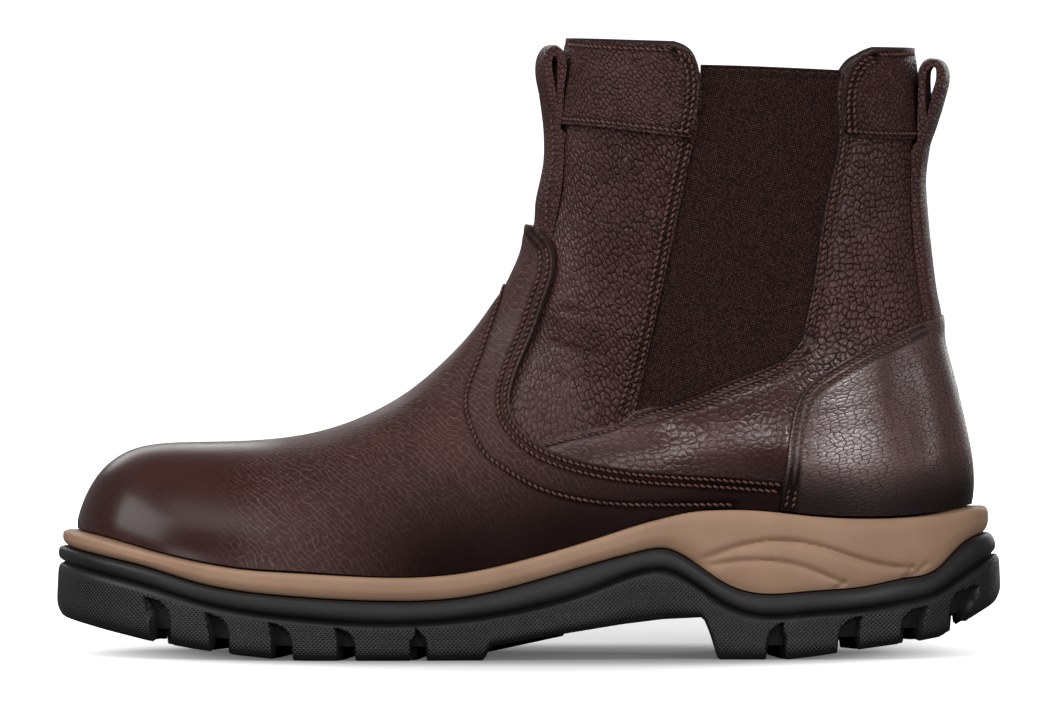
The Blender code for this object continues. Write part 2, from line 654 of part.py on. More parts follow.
def make_fin(stations, number, x, half, lean, side):
    """Hooked pocket in the lug wall above a groove."""
    point, out = station_at(stations, x, side)
    wall = point + out * (ledge(x) + 1.6)
    along = np.array((out[1], -out[0]))
    if along[0] < 0:
        along = -along
    tread = sole_line("tread", x)
    tall = 0.8 * (sole_line("groove", x) - tread)
    turn = 1.0 if lean < 0 else -1.0
    outline = ((-turn * half, -3.0), (turn * half, -3.0), (turn * half, 0.42 * tall),
               (turn * half * 0.4 + 0.1 * lean, 0.58 * tall), (0.55 * lean, 0.8 * tall), (lean, tall),
               (0.75 * lean, 0.72 * tall), (-turn * half, 0.38 * tall))
    inner, outer = wall - out * NOTCH_DEPTH, wall + out * 6.0
    return prism("fin_%d_%d" % (number, side), outline,
                 lambda p: (*(inner + along * p[0]), tread + p[1]),
                 lambda p: (*(outer + along * p[0]), tread + p[1]))


def make_midsole(stations):
    """Foam band on the outsole with a shallow tray for the footbed and a leaf on each side."""
    loop, out, count = stations
    x = loop[:, 0]
    high = sole_line("feather", x)
    rings = [wall_ring(stations, np.full(len(loop), step), lambda at: sole_line("bead", at) + SOLE_GAP,
                       lambda at: high, part) for step, part in MIDSOLE_WALL]
    rim = loop - out * 2.6
    tray = loop - out * 3.4
    rings.append(np.column_stack((rim, high)))
    rings.append(np.column_stack((tray, np.minimum(high - 0.2, sole_line("footbed", x)))))
    body = ring_solid("midsole", rings, count)
    cut_or_join(body, [make_leaf(stations, side) for side in (LATERAL, MEDIAL)], "UNION")
    return body


def make_leaf(stations, side):
    """Raised leaf that follows the midsole wall near the heel."""
    t = np.linspace(0, 1, 10)
    rise = np.linspace(0, 1, 3)
    low, high = path(LEAF_LOW)(t), path(LEAF_HIGH)(t)
    inner, outer = [], []
    for i in range(len(t)):
        for part in rise:
            x, z = low[i] + (high[i] - low[i]) * part
            point, out = station_at(stations, x, side)
            flat = sole_line("bead", x) + SOLE_GAP
            way = (z - flat) / (sole_line("feather", x) - flat)
            step = np.interp(way, [row[1] for row in MIDSOLE_WALL], [row[0] for row in MIDSOLE_WALL])
            swell = 0.35 + 0.55 * math.sin(math.pi * t[i]) * math.sin(math.pi * (0.15 + 0.7 * part))
            inner.append((*(point + out * (ledge(x) + step - 0.8)), z))
            outer.append((*(point + out * (ledge(x) + step + swell)), z))
    rows, columns = len(t), len(rise)
    faces = grid_faces(rows, columns)
    shift = rows * columns
    faces += [tuple(index + shift for index in face) for face in faces]
    ring = ([j for j in range(columns)] + [i * columns + columns - 1 for i in range(1, rows)]
            + [(rows - 1) * columns + j for j in range(columns - 2, -1, -1)]
            + [i * columns for i in range(rows - 2, 0, -1)])
    for k, at in enumerate(ring):
        after = ring[(k + 1) % len(ring)]
        faces.append((at, after, after + shift, at + shift))
    item = new_object("leaf_%d" % side, outer + inner, faces)
    face_outward(item)
    return item


def make_insole(stations):
    """Footbed lying in the midsole tray, inside the upper."""
    loop, out, count = stations
    x = loop[:, 0]
    base = np.minimum(sole_line("feather", x) - 0.2, sole_line("footbed", x)) + GAP
    inset = loop - out * (4.4 + 2.8 * np.clip((x - 95.0) / 25.0, 0, 1))[:, None]
    rings = [np.column_stack((inset, base)), np.column_stack((inset, base + INSOLE_THICKNESS))]
    return ring_solid("insole", rings, count)


def build():
    """Make every piece of the boot and paint it."""
    for item in list(bpy.data.objects):
        bpy.data.objects.remove(item)
    leather = (0.045, 0.018, 0.014)
    stations = sole_stations()
    paint(make_outsole(stations), (0.012, 0.012, 0.013), 0.55)
    paint(make_midsole(stations), (0.20, 0.115, 0.065), 0.62)
    paint(make_insole(stations), (0.03, 0.02, 0.016), 0.85)
    upper = make_upper()
    make_windows(upper)
    paint(upper, leather, 0.45, 0.15)
    paint(make_vamp(), leather, 0.42, 0.2)
    paint(make_counter(), leather, 0.42, 0.2)
    paint(make_band_front(), leather, 0.45, 0.15)
    paint(make_band_back(), leather, 0.45, 0.15)
    paint(make_gore("gore_lateral", LATERAL), (0.014, 0.008, 0.006), 0.9)
    paint(make_gore("gore_medial", MEDIAL), (0.014, 0.008, 0.006), 0.9)
    front = make_strap("pull_strap_front", FRONT_STRAP, FRONT_STRAP_JOIN, FRONT_STRAP_HALF_WIDTH, True)
    back = make_strap("pull_strap_back", BACK_STRAP, BACK_STRAP_JOIN, BACK_STRAP_HALF_WIDTH, False)
    paint(front, leather, 0.5, 0.1)
    paint(back, leather, 0.5, 0.1)


build()
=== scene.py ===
# %% [markdown]
# # Dressing a pull-on safety boot
# The boot's solids already stand in the frame at their real size. This lesson makes the leather,
# knit, foam and rubber that a person sees. Each piece is worked out over the same last as its solid,
# so it sits where the solid is and nothing has to be fitted by eye.

# %% Load the frame
import json
import math
from functools import partial

import bmesh
import bpy
import numpy as np
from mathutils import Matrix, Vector

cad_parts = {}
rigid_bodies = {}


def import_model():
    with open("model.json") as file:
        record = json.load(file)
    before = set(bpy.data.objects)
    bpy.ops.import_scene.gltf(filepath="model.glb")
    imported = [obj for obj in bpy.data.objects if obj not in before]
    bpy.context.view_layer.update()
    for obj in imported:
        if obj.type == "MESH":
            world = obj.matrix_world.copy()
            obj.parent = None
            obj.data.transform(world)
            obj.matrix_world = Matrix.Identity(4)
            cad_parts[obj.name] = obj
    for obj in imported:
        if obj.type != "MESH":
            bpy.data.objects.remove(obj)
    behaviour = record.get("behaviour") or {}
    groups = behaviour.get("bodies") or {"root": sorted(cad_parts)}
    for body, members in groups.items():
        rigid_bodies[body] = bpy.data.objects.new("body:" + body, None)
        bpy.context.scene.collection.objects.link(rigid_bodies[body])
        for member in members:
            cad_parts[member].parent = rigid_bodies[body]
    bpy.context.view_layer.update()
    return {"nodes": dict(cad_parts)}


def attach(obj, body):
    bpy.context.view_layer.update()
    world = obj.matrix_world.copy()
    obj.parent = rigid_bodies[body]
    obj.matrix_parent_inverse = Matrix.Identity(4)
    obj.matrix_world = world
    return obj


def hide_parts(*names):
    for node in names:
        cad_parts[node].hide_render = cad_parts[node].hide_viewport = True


for item in list(bpy.data.objects):
    bpy.data.objects.remove(item)
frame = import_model()
print("solids:", sorted(frame["nodes"]))

# %% [markdown]
# ## Camera, light and floor
# The picture is a studio shot from far away with a long lens, so the boot shows almost no
# perspective. A very long lens at nine metres gives that. Light comes from large soft boxes
# over white ground. The world is plain white for the camera and dimmer for the boot itself, because
# an all-white room would wash out the leather. The floor glows for the camera outside an oval round
# the boot, painted light that keeps the far floor white, and carries a painted shadow under the sole.
# A few short helpers wire the nodes, here and for the finishes.

# %% Camera
MM = 0.001
CAMERA_DISTANCE = 9.0
CAMERA_RISE = math.radians(1.5)
LOOK_AT = Vector((0.8, 0.0, 95.0)) * MM
WIDTH_IN_VIEW = 0.3434
SENSOR = 36.0

camera = bpy.data.objects.new("camera", bpy.data.cameras.new("camera"))
bpy.context.scene.collection.objects.link(camera)
camera.data.sensor_fit = "HORIZONTAL"
camera.data.sensor_width = SENSOR
camera.data.lens = SENSOR * CAMERA_DISTANCE / WIDTH_IN_VIEW
toward_camera = Vector((0.0, -math.cos(CAMERA_RISE), math.sin(CAMERA_RISE)))
camera.location = LOOK_AT + toward_camera * CAMERA_DISTANCE
camera.rotation_euler = (-toward_camera).to_track_quat("-Z", "Y").to_euler()
bpy.context.scene.camera = camera
print("lens %.0f mm" % camera.data.lens)

# %% Lights
# Degrees to the right of the camera, degrees up, distance and size in metres, power in watts.
SOFT_BOXES = {
    "soft_box_left": (-74, 30, 1.9, (1.1, 0.95), 18.0),
    "soft_box_low": (-45, 6, 1.9, (0.5, 0.4), 3.0),
    "soft_box_right": (31, 10, 1.9, (0.5, 0.25), 12.0),
    "soft_box_side": (80, 12, 1.9, (0.5, 0.6), 2.5),
    "soft_box_behind": (180, 25, 1.6, (1.6, 0.4), 6.5),
    "soft_box_back": (158, 8, 1.9, (0.8, 0.5), 4.0),
    "soft_box_above": (-20, 54, 1.8, (1.6, 0.7), 10.0),
    "strip_light": (-8, 10, 2.0, (1.0, 0.25), 8.0),
}


def soft_box(name, around, up, far, size, power):
    """Rectangular area light aimed at the middle of the boot."""
    light = bpy.data.lights.new(name, "AREA")
    light.shape = "RECTANGLE"
    light.size, light.size_y = size
    light.energy = power
    lamp = bpy.data.objects.new(name, light)
    bpy.context.scene.collection.objects.link(lamp)
    around, up = math.radians(around), math.radians(up)
    way = Vector((math.sin(around) * math.cos(up), -math.cos(around) * math.cos(up), math.sin(up)))
    lamp.location = LOOK_AT + way * far
    lamp.rotation_euler = (-way).to_track_quat("-Z", "Y").to_euler()


for name, setting in SOFT_BOXES.items():
    soft_box(name, *setting)

print("lights:", ", ".join(SOFT_BOXES))


# %% Node helpers
def wire(tree, kind, inputs=None, **options):
    """Add a node, set its options, and fill or link its inputs."""
    node = tree.nodes.new(kind)
    for key, value in options.items():
        setattr(node, key, value)
    for key, value in (inputs or {}).items():
        if isinstance(value, bpy.types.NodeSocket):
            tree.links.new(value, node.inputs[key])
        else:
            node.inputs[key].default_value = value
    return node


def math_node(tree, operation, first, second=0.0):
    """Result socket of a math node."""
    return wire(tree, "ShaderNodeMath", {0: first, 1: second}, operation=operation).outputs[0]


def vector_node(tree, operation, first, *more):
    """Vector socket of a vector math node. To scale, give a number after the vector."""
    keys = (0, "Scale") if operation == "SCALE" else (0, 1, 2)
    inputs = dict(zip(keys, (first, *more)))
    return wire(tree, "ShaderNodeVectorMath", inputs, operation=operation).outputs[0]


def ramp(tree, value, low, high, start=0.0, end=1.0):
    """Result socket of a smooth step from start to end as the value goes from low to high."""
    inputs = {"Value": value, "From Min": low, "From Max": high, "To Min": start, "To Max": end}
    return wire(tree, "ShaderNodeMapRange", inputs, interpolation_type="SMOOTHSTEP").outputs["Result"]


def for_camera(tree, unseen, seen):
    """Socket with one value for what the camera sees and another for all other light."""
    camera_ray = tree.nodes.new("ShaderNodeLightPath").outputs["Is Camera Ray"]
    inputs = {"Value": camera_ray, "To Min": unseen, "To Max": seen}
    return wire(tree, "ShaderNodeMapRange", inputs).outputs["Result"]


def object_spot(tree):
    """Socket of a point's place on its object, in metres."""
    return tree.nodes.new("ShaderNodeTexCoord").outputs["Object"]


# %% World and floor
ROOM_LIGHT = 0.2
FLOOR_HALF = 30.0
FLOOR_UNSEEN = 0.12
FLOOR_WHITE = 0.9

world = bpy.data.worlds.new("studio")
bpy.context.scene.world = world
world.use_nodes = True
backdrop = world.node_tree.nodes["Background"]
backdrop.inputs["Color"].default_value = (1.0, 1.0, 1.0, 1.0)
world.node_tree.links.new(for_camera(world.node_tree, ROOM_LIGHT, 1.0), backdrop.inputs["Strength"])
bpy.context.scene.view_settings.view_transform = "Standard"

floor_mesh = bpy.data.meshes.new("floor")
floor_corners = [(x * FLOOR_HALF, y * FLOOR_HALF, 0.0) for x, y in ((-1, -1), (1, -1), (1, 1), (-1, 1))]
floor_mesh.from_pydata(floor_corners, [], [(0, 1, 2, 3)])
floor = bpy.data.objects.new("floor", floor_mesh)
bpy.context.scene.collection.objects.link(floor)
floor_finish = bpy.data.materials.new("pale_floor")
floor_finish.use_nodes = True
floor_tree = floor_finish.node_tree
floor_shader = floor_tree.nodes["Principled BSDF"]
for socket, value in (("Roughness", 0.9), ("Specular IOR Level", 0.1), ("Emission Strength", 1.0)):
    floor_shader.inputs[socket].default_value = value
floor_spot = object_spot(floor_tree)


def floor_oval(half_length, half_depth, behind, *steps):
    """Socket that changes smoothly from inside an oval on the floor to its outside.

    The steps are where the change starts and ends, in parts of the oval, and the two values.
    """
    scale = (1 / half_length, 1 / half_depth, 0.0)
    shift = (0.0, -behind / half_depth, 0.0)
    part = vector_node(floor_tree, "MULTIPLY_ADD", floor_spot, scale, shift)
    reach = wire(floor_tree, "ShaderNodeVectorMath", {0: part}, operation="LENGTH").outputs["Value"]
    return ramp(floor_tree, reach, *steps)


# Painted light: the floor glows for the camera outside an oval round the boot.
floor_glow = floor_oval(0.135, 0.3, 0.12, 0.75, 1.35, 0.1, 1.1)
seen_glow = math_node(floor_tree, "MULTIPLY", floor_glow, for_camera(floor_tree, 0.0, 1.0))
floor_tree.links.new(seen_glow, floor_shader.inputs["Emission Color"])
# Painted shadow: the floor's colour darkens in an oval under the sole.
under_shade = floor_oval(0.15, 0.08, 0.0, 0.7, 1.5, 0.35, 1.0)
floor_white = for_camera(floor_tree, FLOOR_UNSEEN, FLOOR_WHITE)
floor_grey = math_node(floor_tree, "MULTIPLY", floor_white, under_shade)
floor_tree.links.new(floor_grey, floor_shader.inputs["Base Color"])
floor_mesh.materials.append(floor_finish)
print("floor nodes:", len(floor_tree.nodes))

# %% [markdown]
# ## The last
# A shoemaker stretches the upper over a last, the wooden form of a foot. Here the last is a table of
# straight cuts in side view, from a low point to a top point, each with its half widths and the
# roundness of its two ends. A smooth curve through the rows gives every section in between. The
# solids were made from the same sections, in millimetres. The lines along the sole's side are up to
# three millimetres higher here than on the solids, as the picture shows them.

# %% Tables of the last and the sole
LATERAL = -1
MEDIAL = 1
CENTRE_SHIFT = np.array((0.16, 0.3, 0.0))
SECTION_COLUMNS = ("low_x", "low_z", "top_x", "top_z", "lateral", "medial",
                   "low_round", "top_round", "swing")
SECTIONS = (
    (-143.9, 40.6, -143.9, 43.0, 0.0, 0.0, 0.12, 0.42, 5.0),
    (-142.0, 37.5, -142.0, 49.2, 14.5, 14.5, 0.12, 0.42, 5.0),
    (-136.1, 32.0, -136.1, 58.6, 26.5, 26.5, 0.12, 0.42, 4.9),
    (-126.4, 27.0, -126.4, 64.6, 36.0, 36.3, 0.12, 0.42, 4.6),
    (-112.7, 22.5, -112.7, 66.4, 43.5, 43.3, 0.12, 0.42, 4.0),
    (-95.2, 18.5, -95.2, 66.8, 48.5, 46.6, 0.12, 0.42, 3.0),
    (-73.7, 16.0, -73.7, 68.8, 51.5, 47.0, 0.12, 0.44, 1.8),
    (-45.0, 16.0, -54.5, 74.4, 51.0, 44.0, 0.13, 0.46, 0.6),
    (-8.0, 19.0, -38.5, 83.0, 47.0, 39.5, 0.14, 0.48, 0.0),
    (36.0, 29.0, -26.2, 93.2, 40.8, 35.6, 0.14, 0.49, 0.0),
    (82.0, 31.0, -16.8, 103.2, 38.4, 35.4, 0.16, 0.48, 0.0),
    (122.0, 31.0, -9.6, 113.2, 39.2, 37.4, 0.24, 0.47, 0.0),
    (140.9, 47.4, -4.2, 122.3, 40.2, 39.0, 0.42, 0.46, 0.0),
    (139.8, 72.5, 0.6, 132.5, 40.8, 40.0, 0.47, 0.46, 0.0),
    (134.4, 95.0, 4.3, 143.0, 41.2, 40.6, 0.48, 0.46, 0.0),
    (129.4, 115.0, 6.6, 153.2, 41.6, 41.2, 0.47, 0.46, 0.0),
    (126.4, 140.0, 7.5, 165.5, 42.2, 41.8, 0.47, 0.46, 0.0),
    (125.8, 166.0, 10.0, 180.5, 43.0, 42.6, 0.47, 0.46, 0.0),
    (122.9, 196.0, 13.7, 199.0, 43.6, 43.2, 0.47, 0.46, 0.0),
)
HEEL_ROW = 12.0
COLLAR_ROW = 18.0
THROAT_ROW = 13.5

SOLE_COLUMNS = ("x", "groove", "bead", "feather", "footbed")
SOLE = (
    (-153.0, 30.8, 35.8, 41.6, 38.0),
    (-138.0, 27.2, 32.6, 39.2, 35.0),
    (-122.0, 23.2, 29.0, 35.0, 31.4),
    (-108.0, 18.9, 24.8, 31.7, 27.8),
    (-92.0, 15.5, 21.8, 29.1, 25.6),
    (-75.0, 13.4, 20.2, 28.0, 25.0),
    (-45.0, 11.6, 18.8, 26.6, 25.0),
    (-22.0, 12.9, 19.9, 27.9, 27.0),
    (0.0, 16.3, 24.7, 32.7, 31.5),
    (22.0, 22.8, 31.0, 39.1, 37.0),
    (36.0, 28.0, 34.6, 43.5, 41.2),
    (44.0, 28.5, 35.4, 45.6, 43.4),
    (52.0, 24.9, 31.8, 47.3, 45.2),
    (62.0, 18.2, 24.9, 48.0, 46.0),
    (72.0, 14.3, 21.2, 47.9, 46.0),
    (90.0, 14.5, 21.6, 46.1, 45.2),
    (108.0, 16.0, 23.1, 45.1, 44.4),
    (122.0, 18.4, 25.7, 45.4, 44.2),
    (132.0, 21.2, 28.8, 46.5, 44.2),
    (139.0, 25.6, 35.7, 47.9, 44.2),
    (152.0, 34.4, 40.0, 48.6, 44.2),
)
TREAD = (
    (-154.0, 13.4), (-136.7, 9.2), (-123.0, 6.1), (-108.0, 3.6), (-93.0, 1.6), (-80.0, 0.3),
    (-72.0, 0.0), (-14.5, 0.0), (-12.5, 4.2), (0.0, 6.5), (13.0, 8.7), (30.0, 11.4),
    (43.0, 13.0), (56.0, 13.6), (58.0, 9.0), (60.8, 0.0), (83.0, 0.0), (92.0, 1.0),
    (105.0, 3.0), (125.0, 5.6), (132.0, 6.8), (137.0, 9.2), (142.0, 12.4), (152.0, 18.0),
)
print("sections:", len(SECTIONS), "sole rows:", len(SOLE))


# %% The last as a function
class Spline:
    """Natural cubic spline through rows of values, one row at each knot."""

    def __init__(self, knots, rows):
        self.knots = np.asarray(knots, float)
        self.rows = np.asarray(rows, float).reshape(len(self.knots), -1)
        step = np.diff(self.knots)
        slope = np.diff(self.rows, axis=0) / step[:, None]
        system = np.eye(len(self.knots))
        right = np.zeros_like(self.rows)
        for i in range(1, len(self.knots) - 1):
            system[i, i - 1:i + 2] = step[i - 1], 2 * (step[i - 1] + step[i]), step[i]
            right[i] = 6 * (slope[i] - slope[i - 1])
        self.bend = np.linalg.solve(system, right)

    def __call__(self, at):
        at = np.asarray(at, float)
        i = np.clip(np.searchsorted(self.knots, at, side="right") - 1, 0, len(self.knots) - 2)
        step = self.knots[i + 1] - self.knots[i]
        q = ((at - self.knots[i]) / step)[..., None]
        p = 1 - q
        curve = (p ** 3 - p) * self.bend[i] + (q ** 3 - q) * self.bend[i + 1]
        return p * self.rows[i] + q * self.rows[i + 1] + (step * step / 6)[..., None] * curve


def mirrored_toe(rows):
    """Section rows with the second one mirrored before the tip, so the toe closes round."""
    before = list(rows[1])
    before[4], before[5] = -before[4], -before[5]
    return [before] + list(rows)


SECTION_SPLINE = Spline(np.arange(-1, len(SECTIONS)), mirrored_toe(SECTIONS))
CUT_SPLINE = Spline(np.arange(-1, len(SECTIONS)), [row[:4] for row in mirrored_toe(SECTIONS)])
SOLE_SPLINE = Spline([row[0] for row in SOLE], [row[1:] for row in SOLE])


def sections(u):
    """Named section columns at row places u."""
    values = SECTION_SPLINE(u)
    return {name: values[..., i] for i, name in enumerate(SECTION_COLUMNS)}


def sole_line(name, x):
    """Height of a named sole side line at length x."""
    if name == "tread":
        return np.interp(x, [row[0] for row in TREAD], [row[1] for row in TREAD])
    return SOLE_SPLINE(x)[..., SOLE_COLUMNS.index(name) - 1]


def half_width(cut, s, side):
    """Half width of a section at the part s of its way from low to top."""
    wide = cut["lateral"] if side == LATERAL else cut["medial"]
    widest = cut["low_round"] / (cut["low_round"] + cut["top_round"])
    s = np.clip(s, 0.0, 1.0)
    low = (s / widest) ** cut["low_round"]
    top = ((1 - s) / (1 - widest)) ** cut["top_round"]
    return wide * low * top


def locate(x, z):
    """Row u and part s of the section that passes through a side view point."""
    low = np.zeros(np.shape(x))
    high = np.full(np.shape(x), COLLAR_ROW)
    for _ in range(34):
        middle = (low + high) / 2
        low_x, low_z, top_x, top_z = np.moveaxis(CUT_SPLINE(middle), -1, 0)
        before = (top_x - low_x) * (z - low_z) < (top_z - low_z) * (x - low_x)
        low = np.where(before, middle, low)
        high = np.where(before, high, middle)
    low_x, low_z, top_x, top_z = np.moveaxis(CUT_SPLINE(low), -1, 0)
    run, rise = top_x - low_x, top_z - low_z
    return low, ((x - low_x) * run + (z - low_z) * rise) / (run ** 2 + rise ** 2)


def on_upper(points, side):
    """Points of the upper's outer face seen at side view points."""
    x, z = points[..., 0], points[..., 1]
    u, s = locate(x, z)
    cut = sections(u)
    y = cut["swing"] + side * half_width(cut, s, side)
    return np.stack((x, y, z), axis=-1)


def unit(vectors):
    """Vectors brought to length 1."""
    return vectors / np.linalg.norm(vectors, axis=-1, keepdims=True)


def run_along(points, weight=1.0):
    """Distance run at each point of a line, from 0 at its start."""
    steps = np.linalg.norm(np.diff(points, axis=0), axis=1)
    return np.concatenate(([0.0], np.cumsum(steps * weight)))


def surface(points, side):
    """Points and outward normals of the upper's outer face at side view points."""
    step = 0.05
    across = on_upper(points + (step, 0), side) - on_upper(points - (step, 0), side)
    up = on_upper(points + (0, step), side) - on_upper(points - (0, step), side)
    return on_upper(points, side), unit(-side * np.cross(across, up))


def path(points):
    """Smooth side view curve through points, read from 0 to 1 along its chords."""
    points = np.asarray(points, float)
    chords = run_along(points)
    return Spline(chords / chords[-1], points)


def trace(points, count=80):
    """Points read evenly along the smooth curve through some side view points."""
    return path(points)(np.linspace(0, 1, count))


def graded(count, knee, edge_count, power=1):
    """Places from 0 to 1: spread by a power up to the knee, then fine ones for a cut edge."""
    return np.append(knee * np.linspace(0, 1, count) ** power, np.linspace(knee, 1, edge_count)[1:])


def coons(a, b, low, high, start, end, power=1):
    """Side view patch: low and high run along a, start and end run along b."""
    a = a[:, None, None]
    b = b[None, :, None]
    rails = (1 - b) * low[:, None] + b * high[:, None]
    start_bow = start - rails[0]
    end_bow = end - rails[-1]
    return rails + (1 - a) ** power * start_bow + a ** power * end_bow


def both_sides(patch):
    """Lateral and medial halves of a patch joined at its first column, the centre line."""
    lateral = on_upper(patch, LATERAL)
    medial = on_upper(patch, MEDIAL)
    return np.concatenate((medial[:, :0:-1], lateral), axis=1)


def end_line(rows, end):
    """Side view points where sections close on the centre line, at their top or low end."""
    cut = sections(rows)
    return np.stack((cut[end + "_x"], cut[end + "_z"]), axis=-1)


ball = sections(6.0)
print("ball width %.0f mm" % (ball["lateral"] + ball["medial"]))

# %% [markdown]
# ## Mesh helpers
# Sheet pieces such as a vamp or a collar band are cut from hide of even thickness. The helper takes
# a grid of points on the last, pushes a copy of it out along the normals, closes the rim and rounds
# the cut edge with a small bevel. A Solidify modifier would also do, but here the outer face can
# carry its own relief: troughs under the stitching and soft creases. Overlays that are sewn down flat
# get no underside, because nobody sees it.

# %% Sheets, lines and relief
SEAM_DEPTH = 0.38
SEAM_WIDTH = 0.85
# Painted shade: how dark the seam troughs and the leather near the sole are made, and how far up it
# reaches.
SEAM_SHADE = 0.75
LOW_SHADE = 0.88
LOW_SHADE_TALL = 45.0
LOW_SHADE_TALL_AT_HEEL = 22.0
SHARP_ANGLE = math.radians(50.0)
HIDE_HALF = 44.0
UPWARD = (0.0, 0.85)
FORWARD = (-0.85, 0.0)
BACKWARD = (0.85, 0.0)


def step_between(value, low, high):
    """Smooth step from 0 to 1."""
    part = np.clip((value - low) / (high - low), 0, 1)
    return part * part * (3 - 2 * part)


def place(name, verts, faces):
    """Mesh object from points in millimetres."""
    mesh = bpy.data.meshes.new(name)
    shifted = (np.asarray(verts, float).reshape(-1, 3) + CENTRE_SHIFT) * MM
    mesh.from_pydata(shifted.tolist(), [], faces)
    item = bpy.data.objects.new(name, mesh)
    bpy.context.scene.collection.objects.link(item)
    return item


def grid_faces(rows, columns):
    """Quads of a grid of points, rows by columns."""
    at = (np.arange(rows - 1)[:, None] * columns + np.arange(columns - 1)).ravel()
    return np.stack((at, at + 1, at + columns + 1, at + columns), axis=-1).tolist()


def smooth(item):
    """Shade smooth with sharp edges kept sharp, and print how large the mesh is."""
    item.data.shade_smooth()
    item.data.set_sharp_from_angle(angle=SHARP_ANGLE)
    print(item.name, sum(len(face.vertices) - 2 for face in item.data.polygons), "triangles")


def distance(points, line):
    """Side view distance from points to a line of points."""
    best = np.full(len(points), np.inf)
    for start, end in zip(line[:-1], line[1:]):
        way = end - start
        part = np.clip((points - start) @ way / (way @ way), 0, 1)
        best = np.minimum(best, np.linalg.norm(points - start - part[:, None] * way, axis=1))
    return best


def beside(line, by):
    """Line moved sideways, to its left where by is positive."""
    way = np.gradient(line, axis=0)
    return line + by * unit(np.stack((-way[:, 1], way[:, 0]), axis=-1))


def troughs(points, lines, depth, width):
    """Soft relief below the surface along side view lines."""
    relief = np.zeros(len(points))
    for line in lines:
        relief -= depth * np.exp(-(distance(points, line) / width) ** 2)
    return relief


def lay_hide(item, flat):
    """Store flat leather coordinates in millimetres, repeated for the underside."""
    layer = item.data.attributes.new("hide", "FLOAT_VECTOR", "POINT")
    places = np.zeros((len(item.data.vertices), 3), np.float32)
    places[:, :2] = np.resize(flat, (len(places), 2))
    layer.data.foreach_set("vector", places.ravel())


def sheet(name, grid, low, high, relief=None, seams=(), bend=(0.0, 0.0), edge=0.35, lined=True):
    """Closed sheet over a grid on the last, from low to high above it, with rounded cut edges.

    The seams are side view lines: they sink into the sheet and are marked for painted shade in their
    troughs.
    The bend says which way the hide lies, along or up, where the last turns to its centre line.
    A sheet that is sewn down flat needs no lining: its hidden underside is left out.
    """
    base = place(name, grid, grid_faces(*grid.shape[:2]))
    body = bmesh.new()
    body.from_mesh(base.data)
    bmesh.ops.remove_doubles(body, verts=body.verts, dist=0.00001)
    body.normal_update()
    middle = sum((vert.co for vert in body.verts), Vector()) / len(body.verts)
    if sum(vert.normal.dot(vert.co - middle) for vert in body.verts) < 0:
        bmesh.ops.reverse_faces(body, faces=body.faces)
        body.normal_update()
    body.verts.index_update()
    points = np.array([vert.co for vert in body.verts]) / MM - CENTRE_SHIFT
    normals = np.array([vert.normal for vert in body.verts])
    faces = [[vert.index for vert in face.verts] for face in body.faces]
    rim = [(loop.vert.index, loop.link_loop_next.vert.index)
           for face in body.faces for loop in face.loops if loop.edge.is_boundary]
    body.free()
    bpy.data.objects.remove(base)
    rise = np.full(len(points), float(high))
    mark = -troughs(points[:, ::2], seams, 1.0, SEAM_WIDTH)
    rise -= SEAM_DEPTH * mark
    # Painted shade near the sole, where the leather turns under and faces down: it reaches higher in front
    # of the arch than at the heel and fades out toward the toe.
    above = points[:, 2] - sole_line("feather", points[:, 0])
    behind_arch = step_between(points[:, 0], 15.0, 55.0)
    reach = LOW_SHADE_TALL + (LOW_SHADE_TALL_AT_HEEL - LOW_SHADE_TALL) * behind_arch
    behind_toe = step_between(points[:, 0], -85.0, -25.0)
    low_shade = LOW_SHADE * (1 - step_between(above, 3.0, reach)) * behind_toe
    shade = np.clip(SEAM_SHADE * mark + low_shade, 0, 1)
    if relief:
        rise += relief(points)
    count = len(points)
    verts = np.concatenate((points + normals * rise[:, None], points + normals * low))
    under = [[index + count for index in reversed(face)] for face in faces] if lined else []
    wall = [(end, start, start + count, end + count) for start, end in rim]
    item = place(name, verts, faces + under + wall)
    kind = np.repeat((0, 2, 1), (len(faces), len(under), len(wall)))
    item.data.polygons.foreach_set("material_index", kind.astype(np.int32))
    # The seam attribute holds the painted shade of the seam troughs and of the leather near the sole.
    layer = item.data.attributes.new("seam", "FLOAT", "POINT")
    layer.data.foreach_set("value", np.tile(shade, 2).astype(np.float32))
    lay_hide(item, points[:, ::2] + np.outer(HIDE_HALF - np.abs(points[:, 1]), bend))
    body = bmesh.new()
    body.from_mesh(item.data)
    body.verts.ensure_lookup_table()
    shown = points[:, 2] > sole_line("feather", points[:, 0]) + 2.5
    lips = [body.edges.get((body.verts[start], body.verts[end])) for start, end in rim
            if shown[start] and shown[end]]
    bmesh.ops.bevel(body, geom=lips, offset=edge * MM, segments=2, profile=0.6, affect="EDGES",
                    clamp_overlap=True)
    bmesh.ops.delete(body, geom=[vert for vert in body.verts if not vert.link_faces], context="VERTS")
    body.to_mesh(item.data)
    body.free()
    smooth(item)
    return item


# %% [markdown]
# ## Finishes
# Tumbled leather is a net of small cells with fine cracks between them. Painting it by hand would
# take days, so the net is a Voronoi texture: the distance to the nearest cell wall gives domes and
# cracks at any scale. One shader group makes the net, turned and stretched by its inputs, because
# hide pulled over the toe, the shaft and the heel shows cells of other sizes and directions. Rows of
# bricks in the same group give the long pale lines of the vamp. A second group gives the slow change
# of tone that every dyed or moulded surface has. Cracks, seams and the leather near the sole get
# painted shade: they are made metallic with a dark colour, because metal has no clear sheen over its
# colour.


# %% Colours and groups
def blend(tree, part, first, second):
    """Colour socket of a mix of two colours."""
    return wire(tree, "ShaderNodeMix", {0: part, 6: first, 7: second}, data_type="RGBA").outputs[2]


